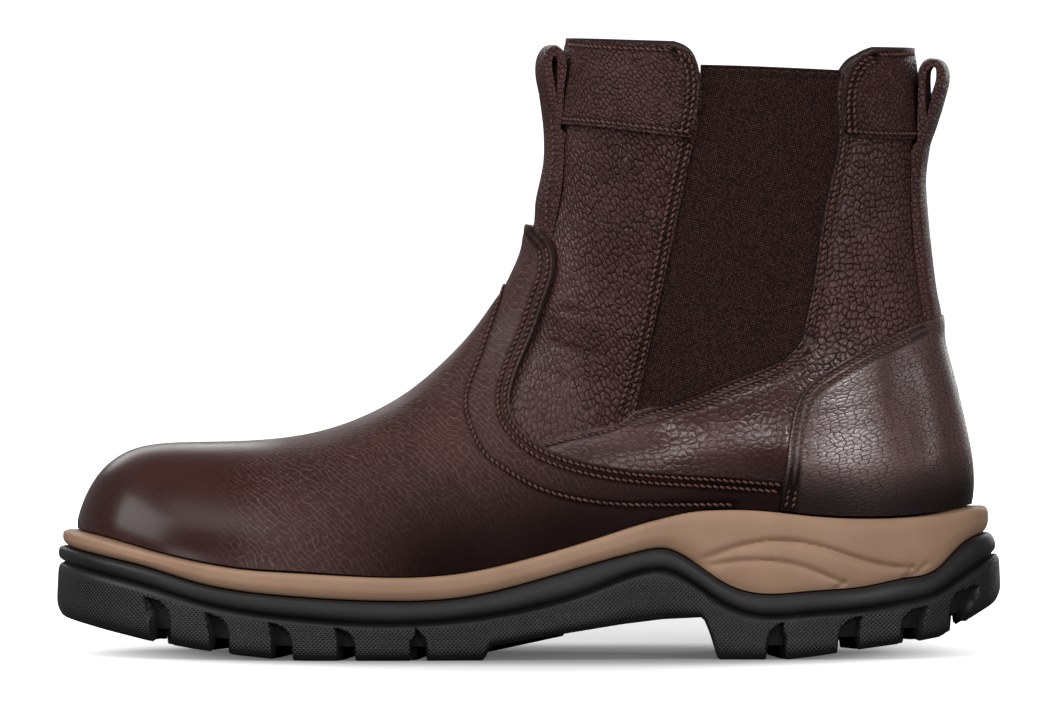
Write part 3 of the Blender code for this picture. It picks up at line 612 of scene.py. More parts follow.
def new_group(name, inputs, outputs):
    """Empty shader group with named sockets, and its input and output nodes."""
    tree = bpy.data.node_groups.new(name, "ShaderNodeTree")
    for name, value in inputs.items():
        socket = tree.interface.new_socket(name, in_out="INPUT", socket_type="NodeSocketFloat")
        socket.default_value = value
    for name in outputs:
        tree.interface.new_socket(name, in_out="OUTPUT", socket_type="NodeSocketFloat")
    return tree, tree.nodes.new("NodeGroupInput").outputs, tree.nodes.new("NodeGroupOutput").inputs


# %% Grain group
GRAIN_INPUTS = {"Turn": 0.0, "Cell": 2.0, "Stretch": 1.0, "Line": 0.07, "Veins": 0.0, "Amount": 1.0}
grain_tree, grain_in, grain_out = new_group("tumbled_grain", GRAIN_INPUTS, ("Height", "Crack"))
grain_math = partial(math_node, grain_tree)
grain_ramp = partial(ramp, grain_tree)
grain_vector = partial(vector_node, grain_tree)
grain_spot = object_spot(grain_tree)


def grain_noise(scale, detail, output="Fac"):
    """Socket of a noise over the boot, with its scale per metre."""
    inputs = {"Vector": grain_spot, "Scale": scale, "Detail": detail}
    return wire(grain_tree, "ShaderNodeTexNoise", inputs).outputs[output]


hide = wire(grain_tree, "ShaderNodeAttribute", attribute_name="hide").outputs["Vector"]
wander = grain_vector("SUBTRACT", grain_noise(260.0, 2.0, "Color"), (0.5, 0.5, 0.5))
wander = grain_vector("SCALE", wander, grain_in["Cell"])
moved = grain_vector("MULTIPLY_ADD", wander, (0.9, 0.9, 0.0), hide)
drift = grain_vector("SCALE", grain_noise(95.0, 1.0, "Color"), grain_in["Veins"])
moved = grain_vector("MULTIPLY_ADD", drift, (7.0, 7.0, 0.0), moved)
turned = wire(grain_tree, "ShaderNodeVectorRotate", {"Vector": moved, "Angle": grain_in["Turn"]},
              rotation_type="Z_AXIS").outputs[0]
per_cell = grain_math("DIVIDE", 1.0, grain_in["Cell"])
along_cell = grain_math("DIVIDE", per_cell, grain_in["Stretch"])
scale = wire(grain_tree, "ShaderNodeCombineXYZ", {"X": per_cell, "Y": along_cell}).outputs[0]
cells = grain_vector("MULTIPLY", turned, scale)


def cell_walls(scale, randomness):
    """Distance socket to the nearest wall of a flat net of cells."""
    inputs = {"Vector": cells, "Scale": scale, "Randomness": randomness}
    return wire(grain_tree, "ShaderNodeTexVoronoi", inputs, feature="DISTANCE_TO_EDGE",
                voronoi_dimensions="2D").outputs["Distance"]


main_wall = cell_walls(1.0, 0.85)
small_wall = cell_walls(2.1, 1.0)
patch = grain_noise(75.0, 2.0)
pores = grain_noise(2200.0, 2.0)
broken = grain_noise(420.0, 1.0)
main_crack = grain_math("MULTIPLY", grain_ramp(main_wall, 0.008, grain_in["Line"], 1.0, 0.0),
                        grain_ramp(broken, 0.34, 0.56, 0.45, 1.0))
small_crack = grain_math("MULTIPLY", grain_ramp(small_wall, 0.01, 0.1, 1.0, 0.0),
                         grain_ramp(patch, 0.4, 0.62, 0.75, 0.2))
dome = grain_math("ADD", grain_math("MULTIPLY", grain_ramp(main_wall, 0.0, 0.34), 0.8),
                  grain_math("MULTIPLY", grain_ramp(small_wall, 0.0, 0.3), 0.16))
axes = wire(grain_tree, "ShaderNodeSeparateXYZ", {0: turned}).outputs
swapped = wire(grain_tree, "ShaderNodeCombineXYZ", {"X": axes["Y"], "Y": axes["X"]}).outputs[0]
row_spot = grain_vector("SCALE", swapped, per_cell)
bricks = {"Vector": row_spot, "Scale": 1.0, "Mortar Size": 0.055, "Mortar Smooth": 0.7,
          "Brick Width": grain_in["Stretch"], "Row Height": 1.0}
rows = wire(grain_tree, "ShaderNodeTexBrick", bricks).outputs["Fac"]
veins = grain_math("MULTIPLY", rows, grain_ramp(broken, 0.32, 0.54, 0.15, 1.0))
cell_net = grain_math("MAXIMUM", main_crack, small_crack)
no_veins = grain_math("SUBTRACT", 1.0, grain_math("MULTIPLY", grain_in["Veins"], 0.75))
both = grain_math("MAXIMUM", grain_math("MULTIPLY", cell_net, no_veins),
                  grain_math("MULTIPLY", veins, grain_in["Veins"]))
relief = grain_math("SUBTRACT", dome, grain_math("MULTIPLY", both, 0.3))
relief = grain_math("MULTIPLY", relief, grain_in["Amount"])
relief = grain_math("ADD", relief, grain_math("MULTIPLY", pores, 0.12))
grain_tree.links.new(relief, grain_out["Height"])
shown = grain_math("MINIMUM", grain_math("MULTIPLY", grain_in["Amount"], 2.5), 1.0)
grain_tree.links.new(grain_math("MULTIPLY", both, shown), grain_out["Crack"])
print("grain nodes:", len(grain_tree.nodes))

# %% Tone group
tone_tree, tone_in, tone_out = new_group("slow_tone", {"Size": 0.03}, ("Broad", "Fine"))
tone_spot = object_spot(tone_tree)
per_patch = math_node(tone_tree, "DIVIDE", 1.0, tone_in["Size"])
broad = wire(tone_tree, "ShaderNodeTexNoise", {"Vector": tone_spot, "Scale": per_patch, "Detail": 3.0})
speck = wire(tone_tree, "ShaderNodeTexNoise", {"Vector": tone_spot, "Scale": 1400.0, "Detail": 2.0})
tone_tree.links.new(ramp(tone_tree, broad.outputs["Fac"], 0.32, 0.68), tone_out["Broad"])
tone_tree.links.new(speck.outputs["Fac"], tone_out["Fine"])
print("tone nodes:", len(tone_tree.nodes))


# %% Leather finish
def new_finish(name, **sockets):
    """Material with constant values on its shader, ready for textures."""
    finish = bpy.data.materials.new(name)
    finish.use_nodes = True
    shader = finish.node_tree.nodes["Principled BSDF"]
    for socket, value in sockets.items():
        shader.inputs[socket.replace("_", " ")].default_value = value
    return finish, finish.node_tree, shader


def use_group(tree, group, **values):
    """Group node with its own values."""
    return wire(tree, "ShaderNodeGroup", values, node_tree=group)


def raise_by(tree, shader, height, distance):
    """Let a height socket bump a finish by a distance in millimetres."""
    raised = wire(tree, "ShaderNodeBump", {"Height": height, "Distance": distance * MM})
    tree.links.new(raised.outputs["Normal"], shader.inputs["Normal"])


# Painted shade: the dark colour given to the cracks, the seam troughs and the leather near the sole.
PAINTED_SHADE_DARK = (0.008, 0.0030, 0.0027)
PALE_CRACK = (0.185, 0.110, 0.096)
HIDE_DARK = (0.026, 0.0088, 0.0078)
HIDE_PALE = (0.038, 0.0135, 0.0117)
SMOOTH_GLOSS = 0.2


def leather(name, turn, cell, stretch, bump, rough, shade, mirror, line, ink, tint=PAINTED_SHADE_DARK, fade=None,
            veins=0.0):
    """Tumbled brown leather. The grain fades along an axis, where the hide is pulled smooth."""
    finish, tree, shader = new_finish(name, Specular_IOR_Level=mirror)
    grain = use_group(tree, grain_tree, Turn=math.radians(turn), Cell=cell, Stretch=stretch, Line=line,
                      Veins=veins)
    tone = use_group(tree, tone_tree, Size=0.035)
    gloss = ramp(tree, tone.outputs["Broad"], 0.0, 1.0, rough - 0.06, rough + 0.06)
    if fade:
        axis, smooth_at, rough_at, least = fade
        along = wire(tree, "ShaderNodeSeparateXYZ", {0: object_spot(tree)}).outputs[axis]
        amount = ramp(tree, along, smooth_at * MM, rough_at * MM, least, 1.0)
        tree.links.new(amount, grain.inputs["Amount"])
        gloss = math_node(tree, "SUBTRACT", gloss, ramp(tree, amount, 0.0, 1.0, SMOOTH_GLOSS, 0.0))
    # Painted light: shade scales the hide's colours per panel, giving lit and shaded copies of one leather.
    dark, pale = (tuple(shade * part for part in colour) for colour in (HIDE_DARK, HIDE_PALE))
    colour = blend(tree, tone.outputs["Broad"], (*dark, 1.0), (*pale, 1.0))
    # Painted shade: cracks with the dark tint, seam troughs and the leather near the sole darken and turn
    # metallic, so they lose their sheen.
    crack = math_node(tree, "MULTIPLY", grain.outputs["Crack"], ink)
    colour = blend(tree, crack, colour, (*tint, 1.0))
    painted_shade_mask = wire(tree, "ShaderNodeAttribute", attribute_name="seam").outputs["Fac"]
    painted_shade_metal = painted_shade_mask if tint == PALE_CRACK else math_node(tree, "MAXIMUM", crack, painted_shade_mask)
    tree.links.new(math_node(tree, "MULTIPLY", painted_shade_metal, 0.9), shader.inputs["Metallic"])
    colour = blend(tree, painted_shade_mask, colour, (*PAINTED_SHADE_DARK, 1.0))
    tree.links.new(colour, shader.inputs["Base Color"])
    gloss = math_node(tree, "ADD", gloss, math_node(tree, "MULTIPLY", grain.outputs["Crack"], 0.3))
    gloss = math_node(tree, "ADD", gloss, math_node(tree, "MULTIPLY", painted_shade_mask, 0.2))
    tree.links.new(gloss, shader.inputs["Roughness"])
    raise_by(tree, shader, grain.outputs["Height"], bump)
    return finish


# Turn in degrees, cell in mm, stretch, bump in mm, rough, shade, mirror, line, ink. The shade is
# painted light: the same leather is made lighter or darker per panel for how the light falls on it.
vamp_hide = leather("vamp_hide", -33, 1.75, 2.6, 0.06, 0.48, 1.1, 0.2, 0.10, 0.85, PALE_CRACK,
                    ("X", -104.0, -66.0, 0.04), 1.0)
shaft_hide = leather("shaft_hide", -33, 1.8, 1.6, 0.42, 0.42, 1.75, 0.32, 0.13, 0.95,
                     fade=("X", 12.0, 27.0, 0.3))
quarter_hide = leather("quarter_hide", 85, 2.2, 1.25, 0.20, 0.41, 2.0, 0.5, 0.16, 1.0,
                       fade=("Z", 86.0, 108.0, 0.22))
counter_hide = leather("counter_hide", 78, 1.25, 2.8, 0.025, 0.32, 2.4, 0.9, 0.12, 0.75)
band_hide = leather("band_hide", -50, 1.5, 1.4, 0.30, 0.40, 1.75, 0.35, 0.14, 0.95)
strap_hide = leather("strap_hide", 80, 1.6, 1.2, 0.18, 0.42, 1.9, 0.3, 0.12, 0.85)


def plain_finish(name, dark, pale, rough, bump, size=0.02):
    """Finish with a slow change of tone and a fine tooth."""
    finish, tree, shader = new_finish(name, Roughness=rough, Specular_IOR_Level=0.4)
    tone = use_group(tree, tone_tree, Size=size)
    colour = blend(tree, tone.outputs["Broad"], (*dark, 1.0), (*pale, 1.0))
    tree.links.new(colour, shader.inputs["Base Color"])
    raise_by(tree, shader, tone.outputs["Fine"], bump)
    return finish


cut_edge = plain_finish("cut_edge", (0.012, 0.006, 0.005), (0.022, 0.011, 0.009), 0.7, 0.1)
lining_cloth = plain_finish("lining_cloth", (0.020, 0.013, 0.011), (0.032, 0.021, 0.018), 0.9, 0.25)
thread = plain_finish("thread", (0.060, 0.0230, 0.0170), (0.105, 0.0430, 0.0320), 0.55, 0.15, size=0.004)
footbed_cloth = plain_finish("footbed_cloth", (0.018, 0.013, 0.011), (0.035, 0.024, 0.020), 0.92, 0.25)
foam = plain_finish("foam", (0.290, 0.170, 0.105), (0.335, 0.202, 0.128), 0.55, 0.05)
HIDES = (vamp_hide, shaft_hide, quarter_hide, counter_hide, band_hide, strap_hide)
print("leather finishes:", ", ".join(finish.name for finish in HIDES))


# %% Knit and rubber finishes
def ribs(tree, value, pitch):
    """Ripple socket from 0 to 1 that repeats at a pitch along a coordinate."""
    wave = math_node(tree, "SINE", math_node(tree, "MULTIPLY", value, 2 * math.pi / pitch))
    return wire(tree, "ShaderNodeMath", {0: wave, 1: 0.5, 2: 0.5}, operation="MULTIPLY_ADD").outputs[0]


def knit():
    """Dark elastic web: fine upright ribs crossed by finer rows."""
    finish, tree, shader = new_finish("elastic_knit", Roughness=0.9, Specular_IOR_Level=0.1)
    tilt = {"Vector": object_spot(tree), "Rotation": (0.0, math.radians(-14.0), 0.0)}
    turned = wire(tree, "ShaderNodeVectorRotate", tilt, rotation_type="EULER_XYZ").outputs[0]
    axes = wire(tree, "ShaderNodeSeparateXYZ", {0: turned}).outputs
    loops = math_node(tree, "MULTIPLY", ribs(tree, axes["X"], 0.00066), ribs(tree, axes["Z"], 0.00074))
    tone = use_group(tree, tone_tree, Size=0.012)
    shade = math_node(tree, "MULTIPLY", loops, ramp(tree, tone.outputs["Fine"], 0.35, 0.65, 0.1, 1.0))
    colour = blend(tree, shade, (0.0085, 0.0036, 0.0032, 1.0), (0.140, 0.0640, 0.0530, 1.0))
    tree.links.new(colour, shader.inputs["Base Color"])
    raise_by(tree, shader, loops, 0.25)
    return finish


KNURL_PITCH = 1.3


def rubber():
    """Black moulded rubber with a fine diamond knurl where the wall attribute asks for it, and painted
    shade in the notches.
    """
    finish, tree, shader = new_finish("black_rubber", Specular_IOR_Level=0.3)
    wall = wire(tree, "ShaderNodeAttribute", attribute_name="wall_place").outputs["Vector"]
    axes = wire(tree, "ShaderNodeSeparateXYZ", {0: wall}).outputs
    ways = [math_node(tree, operation, axes["X"], axes["Y"]) for operation in ("ADD", "SUBTRACT")]
    diamonds = math_node(tree, "MULTIPLY", *(ribs(tree, way, KNURL_PITCH) for way in ways))
    knurl = math_node(tree, "MULTIPLY", diamonds, ramp(tree, axes["Z"], 0.0, 1.0))
    tone = use_group(tree, tone_tree, Size=0.025)
    plain = blend(tree, tone.outputs["Broad"], (0.0082, 0.0080, 0.0086, 1.0), (0.0140, 0.0136, 0.0142, 1.0))
    # Painted shade: the rubber darkens to near black where the wall value falls below zero, in the notches.
    shade = ramp(tree, axes["Z"], -1.0, 0.0, 0.0, 1.0)
    tree.links.new(blend(tree, shade, (0.0010, 0.0010, 0.0011, 1.0), plain), shader.inputs["Base Color"])
    tree.links.new(ramp(tree, axes["Z"], -1.0, 0.3, 0.85, 0.42), shader.inputs["Roughness"])
    height = math_node(tree, "ADD", knurl, math_node(tree, "MULTIPLY", tone.outputs["Fine"], 0.25))
    raise_by(tree, shader, height, 0.22)
    return finish


elastic_knit = knit()
black_rubber = rubber()
print("knit and rubber ready")


# %% Dressing a node
def dress(piece, finishes, nodes=()):
    """Give a piece its finishes, let it ride with the boot and stand for its solids."""
    for finish in finishes:
        piece.data.materials.append(finish)
    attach(piece, "root")
    for node in nodes:
        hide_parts(node)


# %% [markdown]
# ## The outsole
# A moulded rubber cup: lug wall with hooked notches, a groove, and a smooth bead that hugs the foam.
# Cutting the notches with a Boolean leaves knife-sharp edges. Here the wall is one fine grid, rings
# by stations round the shoe, and each notch pushes its points inward with a soft step, which gives
# the rounded lips of a moulding.

# %% Stations round the sole
LEDGE = 5.6
LEDGE_AT_TOE = 1.2
LEDGE_AT_HEEL = 2.0
HEEL_FLARE = 2.0
LUG_HEIGHT = 4.6
STATIONS = 540
NOTCH_FINENESS = 2.2
# Length x, half width, lean of the hook and sweep of the groove under the sole, in mm.
NOTCHES = (
    (-118.5, 3.1, -5.6, 5.0), (-99.5, 3.0, -4.8, 6.0), (-79.5, 3.0, -4.2, 7.0), (-58.5, 2.6, -3.6, 7.0),
    (-35.5, 2.6, -1.2, 7.0), (79.5, 3.0, 2.4, -6.0), (103.0, 3.0, 4.0, -6.0), (123.0, 3.0, 5.0, -6.0),
    (138.0, 3.4, 7.5, -5.0),
)


def sole_loop():
    """Stations round the feather line, finer at the notches, toe first along the outer side."""
    toe, heel = SECTIONS[0][0], SECTIONS[int(HEEL_ROW)][0]
    x = toe + (heel - toe) * (1 - np.cos(np.linspace(0, math.pi, 700))) / 2
    feather = np.stack((x, sole_line("feather", x) + 0.3), axis=-1)
    halves = []
    for side in (LATERAL, MEDIAL):
        half = on_upper(feather, side)[:, :2]
        half[0, 1], half[-1, 1] = SECTIONS[0][8], 0.0
        fine = np.ones(len(half) - 1)
        for notch in NOTCHES:
            fine += NOTCH_FINENESS * np.exp(-((half[1:, 0] - 0.97 * notch[0]) / 6.0) ** 2)
        run = run_along(half, fine)
        even = np.linspace(0, run[-1], STATIONS)
        halves.append(np.stack([np.interp(even, run, half[:, i]) for i in (0, 1)], axis=-1))
    loop = np.concatenate((halves[0], halves[1][-2:0:-1]))
    along = np.roll(loop, -2, axis=0) - np.roll(loop, 2, axis=0)
    out = unit(np.stack((along[:, 1], -along[:, 0]), axis=-1))
    return loop, out if out[0, 0] < 0 else -out


def ledge(x):
    """How far the midsole edge stands out from the feather line."""
    return LEDGE + np.where(x < 0, LEDGE_AT_TOE, LEDGE_AT_HEEL) * np.abs(x / 142.0) ** 4


LOOP, OUT = sole_loop()
AROUND = run_along(LOOP)
print("perimeter %.0f mm" % AROUND[-1])

# %% Outsole wall
# Level from tread over groove to bead, step outward in mm, share of the heel's flare.
OUTSOLE_WALL = (
    (0.00, -0.5, 1.0), (0.03, 0.4, 1.0), (0.10, 1.2, 1.0), (0.24, 1.9, 1.0), (0.50, 1.8, 1.0),
    (0.76, 1.6, 1.0), (0.88, 1.3, 0.9), (0.95, 0.6, 0.8), (1.00, -0.6, 0.7), (1.05, -0.5, 0.7),
    (1.14, 0.7, 0.65), (1.30, 1.3, 0.5), (1.52, 1.4, 0.4), (1.76, 1.2, 0.2), (1.92, 0.5, 0.1),
    (2.00, -0.6, 0.0),
)
RINGS = 46
TREAD_COLUMNS = 47
NOTCH_DEPTH = 4.2


def profile(table, rings):
    """Columns of a wall table, read smoothly at a number of rings."""
    last = len(table) - 1
    return Spline(np.arange(last + 1), table)(np.linspace(0, last, rings)).T


def notch_outline(half, lean, tall):
    """Hooked notch in wall coordinates: along the wall and up from the tread."""
    turn = 1.0 if lean < 0 else -1.0
    side = turn * half
    return np.array(((-side, -4.0), (side, -4.0), (side, 0.42 * tall), (0.72 * side, 0.66 * tall),
                     (0.15 * side, 0.84 * tall), (0.5 * lean, 0.95 * tall), (lean, tall),
                     (0.85 * lean, 0.8 * tall), (-1.05 * side, 0.55 * tall), (-side, 0.36 * tall)))


def inside_by(points, outline):
    """Signed distance into a closed outline, positive inside."""
    closed = np.concatenate((outline, outline[:1]))
    inside = np.zeros(len(points), bool)
    for start, end in zip(closed[:-1], closed[1:]):
        crosses = (start[1] > points[:, 1]) != (end[1] > points[:, 1])
        slope = (end[0] - start[0]) / (end[1] - start[1] + 1e-12)
        inside ^= crosses & (points[:, 0] < start[0] + slope * (points[:, 1] - start[1]))
    return np.where(inside, 1.0, -1.0) * distance(points, closed)


def station_near(x, side):
    """Index of the station whose wall is nearest to length x on one side."""
    picks = np.arange(STATIONS) if side == LATERAL else np.arange(STATIONS - 1, len(LOOP))
    wall_x = LOOP[picks, 0] + OUT[picks, 0] * (ledge(LOOP[picks, 0]) + 1.5)
    return picks[np.argmin(np.abs(wall_x - x))]


def outsole_wall():
    """Grid of wall points, rings by stations, notched, with knurl coordinates and painted shade in the
    notches.
    """
    level, step, share = profile(OUTSOLE_WALL, RINGS)
    flare = HEEL_FLARE * np.clip((LOOP[:, 0] - 100.0) / 40.0, 0, 1) ** 2
    reach = ledge(LOOP[:, 0])[None] + step[:, None] + share[:, None] * flare[None]
    flat = LOOP[None] + OUT[None] * reach[..., None]
    lines = [sole_line(name, flat[..., 0]) for name in ("tread", "groove", "bead")]
    lower, upper = np.clip(level, 0, 1)[:, None], np.clip(level - 1, 0, 1)[:, None]
    height = lines[0] + (lines[1] - lines[0]) * lower + (lines[2] - lines[1]) * upper
    inward = np.zeros_like(height)
    lift = np.zeros_like(height)
    for x, half, lean, _ in NOTCHES:
        for side in (LATERAL, MEDIAL):
            at = station_near(x, side)
            run = (AROUND - AROUND[at]) * (1.0 if side == LATERAL else -1.0)
            near = np.flatnonzero(np.abs(run) < 14.0)
            floor_z = sole_line("tread", x)
            tall = 0.88 * (sole_line("groove", x) - floor_z)
            along = np.broadcast_to(run[near], (RINGS, len(near)))
            up = height[:, near] - floor_z
            points = np.stack((along.ravel(), up.ravel()), axis=-1)
            mask = step_between(inside_by(points, notch_outline(half, lean, tall)), -0.3, 0.45)
            mask = mask.reshape(up.shape)
            scoop = np.clip((along * math.copysign(1.0, -lean) + half) / (2 * half), 0, 1)
            deep = NOTCH_DEPTH * (1.0 - 0.3 * np.clip(up / tall, 0, 1)) * (1.0 - 0.45 * scoop)
            inward[:, near] = np.maximum(inward[:, near], mask * deep)
            slot = step_between(half - np.abs(along), -0.2, 0.5)
            rise = np.clip(LUG_HEIGHT - up, 0, LUG_HEIGHT) * slot * 0.98
            lift[:, near] = np.maximum(lift[:, near], rise)
    flat = flat - OUT[None] * inward[..., None]
    knurl = ((level > 0.12) & (level < 0.86))[:, None] * (1.0 - step_between(inward, 0.1, 0.6))
    # Painted shade: below zero the knurl value darkens the notches, more where they are deeper.
    knurl = knurl - np.clip(inward / NOTCH_DEPTH, 0, 1) * 1.3
    around = np.broadcast_to(AROUND, height.shape)
    return np.dstack((flat, height + lift)), np.dstack((around, height, knurl))


wall_grid, wall_place = outsole_wall()
print("wall grid", wall_grid.shape[:2])


# %% Tread and outsole piece
def chevron_mask(points):
    """How far points under the sole lie inside the chevron grooves, from 0 to 1."""
    mask = np.zeros(len(points))
    for x, half, _, sweep in NOTCHES:
        for side in (LATERAL, MEDIAL):
            at = station_near(x, side)
            arm = np.array((LOOP[at] + OUT[at] * 14.0, (x + sweep, -side * 2.0)))
            mask = np.maximum(mask, step_between(half - distance(points, arm), -0.2, 0.5))
    return mask


def pair_columns(ring, columns):
    """Grid across a ring of stations, from each outer station to its inner partner."""
    outer = ring[:STATIONS]
    inner = np.concatenate((ring[:1], ring[:STATIONS - 2:-1]))
    part = np.linspace(0, 1, columns)[None, :, None]
    return outer[:, None] * (1 - part) + inner[:, None] * part


def close_rings(name, rings, low_grid, high_grid):
    """Closed piece from a grid of rings and the two grids that close its ends."""
    count, total = rings.shape[:2]
    at = np.arange(count - 1)[:, None] * total + np.arange(total)
    after = np.arange(count - 1)[:, None] * total + (np.arange(total) + 1) % total
    faces = np.stack((at, after, after + total, at + total), axis=-1).reshape(-1, 4).tolist()
    verts = [rings.reshape(-1, 3)]
    shift = count * total
    for grid in (low_grid, high_grid):
        faces += [[index + shift for index in face] for face in grid_faces(*grid.shape[:2])]
        verts.append(grid.reshape(-1, 3))
        shift += grid.shape[0] * grid.shape[1]
    return place(name, np.concatenate(verts), faces)


def weld(item):
    """Merge points that fall together and turn all faces outward."""
    body = bmesh.new()
    body.from_mesh(item.data)
    bmesh.ops.remove_doubles(body, verts=body.verts, dist=0.00002)
    bmesh.ops.dissolve_degenerate(body, edges=body.edges, dist=0.000005)
    bmesh.ops.recalc_face_normals(body, faces=body.faces)
    body.to_mesh(item.data)
    body.free()
    smooth(item)


INNER_LUG = (-14.0, 12.0, 6.0)


def make_outsole():
    """Rubber outsole with its wall, grooved tread and flat top."""
    under = pair_columns(wall_grid[0], TREAD_COLUMNS)
    inner = under[:, 1:-1].reshape(-1, 3)
    tread = sole_line("tread", inner[:, 0])
    start, end, edge = INNER_LUG
    ramp_z = np.interp(inner[:, 0], (start, end), (0.4, 6.0))
    lug = (inner[:, 0] > start) & (inner[:, 0] < end) & (inner[:, 1] > edge) & (inner[:, 1] < 30.0)
    tread = np.where(lug, np.minimum(tread, ramp_z), tread)
    inner[:, 2] = tread + LUG_HEIGHT * chevron_mask(inner[:, :2])
    under[:, 1:-1] = inner.reshape(len(under), -1, 3)
    top = pair_columns(wall_grid[-1], 2)
    piece = close_rings("outsole_rubber", wall_grid, under, top)
    layer = piece.data.attributes.new("wall_place", "FLOAT_VECTOR", "POINT")
    places = np.zeros((len(piece.data.vertices), 3), np.float32)
    places[:wall_place.shape[0] * wall_place.shape[1]] = wall_place.reshape(-1, 3)
    layer.data.foreach_set("vector", places.ravel())
    weld(piece)
    return piece


dress(make_outsole(), (black_rubber,), ("outsole",))

# %% [markdown]
# ## The midsole
# A band of tan polyurethane foam. Its side carries two leaf blades: each starts at an engraved line
# and swells out below it. The blades are part of the wall grid, pressed in below each line and
# fading downward, so light from above catches them as in the picture.

# %% Midsole
MIDSOLE_WALL = ((0.00, -1.7), (0.05, -1.2), (0.14, -0.7), (0.35, -0.1), (0.58, 0.0), (0.80, -0.1),
                (0.92, -0.5), (0.98, -1.1), (1.00, -1.8))
MIDSOLE_RINGS = 68
SOLE_GAP = 0.5
LEAF_LINE = ((53.5, 31.5), (61.9, 35.1), (70.0, 37.4), (78.1, 38.6), (87.8, 38.0), (97.5, 35.7),
             (110.4, 31.5), (116.9, 30.2), (123.7, 29.3))
LEAF_TIP = ((123.7, 29.3), (121.8, 26.7), (119.5, 24.7))
LEAF_SECOND_TIP = ((128.5, 30.6), (124.0, 27.0), (121.1, 25.1))
BLADE_LINE = ((55.5, 29.9), (65.2, 31.9), (74.9, 32.2), (84.6, 31.2), (92.7, 28.6), (101.4, 24.7))
BLADE_TIP = ((101.4, 24.7), (98.2, 22.2))


def below(points, curve):
    """How far side view points lie below a curve."""
    return np.interp(points[:, 0], curve[:, 0], curve[:, 1]) - points[:, 1]


def blade(points, curve, depth, fade):
    """Press in below a curve, fading downward and towards the curve's ends."""
    drop = below(points, curve)
    ends = (step_between(points[:, 0], curve[0, 0], curve[0, 0] + 7.0)
            * step_between(-points[:, 0], -curve[-1, 0] - 0.5, -curve[-1, 0] + 6.0))
    return -depth * ends * step_between(drop, -0.6, 0.8) * np.exp(-np.maximum(drop, 0) / fade)


def leaf_relief(points):
    """Relief of the leaf blades at side view points of the midsole wall."""
    leaf, second = (trace(line, 60) for line in (LEAF_LINE, BLADE_LINE))
    tips = [trace(line, 12) for line in (LEAF_TIP, LEAF_SECOND_TIP, BLADE_TIP)]
    relief = blade(points, leaf, 1.1, 2.6) + blade(points, second, 0.9, 2.6)
    relief += troughs(points, tips, 0.5, 0.9) + troughs(points, (leaf, second), 0.4, 0.9)
    swell = step_between(points[:, 0], 52.0, 66.0) * step_between(-points[:, 0], -126.0, -100.0)
    return relief + 0.55 * swell * step_between(below(points, leaf), 0.0, 3.0)


def make_midsole():
    """Foam band with its leaf, a rounded ledge and a tray for the footbed."""
    part, step = profile(MIDSOLE_WALL, MIDSOLE_RINGS)
    high = sole_line("feather", LOOP[:, 0])
    reach = ledge(LOOP[:, 0])[None] + step[:, None]
    flat = LOOP[None] + OUT[None] * reach[..., None]
    bottom = sole_line("bead", flat[..., 0]) + SOLE_GAP
    height = bottom + (high[None] - bottom) * part[:, None]
    side_view = np.stack((flat[..., 0].ravel(), height.ravel()), axis=-1)
    heel_part = np.flatnonzero(side_view[:, 0] > 50.0)
    relief = np.zeros(len(side_view))
    relief[heel_part] = leaf_relief(side_view[heel_part])
    flat = flat + OUT[None] * relief.reshape(height.shape)[..., None]
    rings = np.dstack((flat, height))
    inner = []
    for offset, drop in ((1.6, 0.1), (-1.2, 0.1), (-3.0, 0.3)):
        inner.append(np.column_stack((LOOP + OUT * offset, high + 0.1 - drop)))
    tray = np.minimum(high - 0.2, sole_line("footbed", LOOP[:, 0]))
    inner.append(np.column_stack((LOOP - OUT * 3.6, tray)))
    rings = np.concatenate((rings, inner))
    piece = close_rings("midsole_foam", rings, pair_columns(rings[0], 2), pair_columns(rings[-1], 2))
    weld(piece)
    return piece


dress(make_midsole(), (foam,), ("midsole",))

# %% [markdown]
# ## The footbed and the foot lining
# Looking down the shaft shows a padded footbed and the cloth that lines the foot. Both follow the
# sole's stations and the last, a little inside the leather.

# %% Footbed and lining
FOOTBED_THICKNESS = 3.0
FOOTBED_CUP = 1.2
FOOTBED_COLUMNS = 25


def make_footbed():
    """Padded footbed with a rounded edge and a slightly cupped top."""
    x = LOOP[:, 0]
    base = np.minimum(sole_line("feather", x) - 0.2, sole_line("footbed", x)) + 0.3
    inset = 4.4 + 2.8 * np.clip((x - 95.0) / 25.0, 0, 1)
    rings = []
    for more, rise in ((0.0, 0.0), (0.0, 2.0), (0.3, 2.7), (1.0, FOOTBED_THICKNESS)):
        rings.append(np.column_stack((LOOP - OUT * (inset + more)[:, None], base + rise)))
    rings = np.array(rings)
    top = pair_columns(rings[-1], FOOTBED_COLUMNS)
    across = 1 - np.linspace(-1, 1, FOOTBED_COLUMNS) ** 2
    along = np.sin(np.linspace(0, math.pi, STATIONS))
    top[:, :, 2] -= FOOTBED_CUP * across[None] * along[:, None]
    piece = close_rings("footbed", rings, pair_columns(rings[0], 2), top)
    weld(piece)
    return piece


def make_lining():
    """Cloth sock of the foot, just inside the upper, up to the ankle."""
    u = np.linspace(0.3, 13.2, 90)
    low = np.where(u < HEEL_ROW, 0.22, 0.0)[:, None]
    s = low + (1 - low) * (1 - np.cos(np.linspace(0, math.pi, 40)[None])) / 2
    cut = sections(u[:, None])
    x = cut["low_x"] + (cut["top_x"] - cut["low_x"]) * s
    z = cut["low_z"] + (cut["top_z"] - cut["low_z"]) * s
    z = np.maximum(z, sole_line("feather", x) + 1.0)
    halves = []
    for side in (MEDIAL, LATERAL):
        y = cut["swing"] + side * half_width(cut, s, side)
        halves.append(np.dstack((x, y, z)))
    grid = np.concatenate((halves[0], halves[1][:, -2::-1]), axis=1)
    return sheet("foot_lining", grid, -2.9, -2.3, edge=0.1)


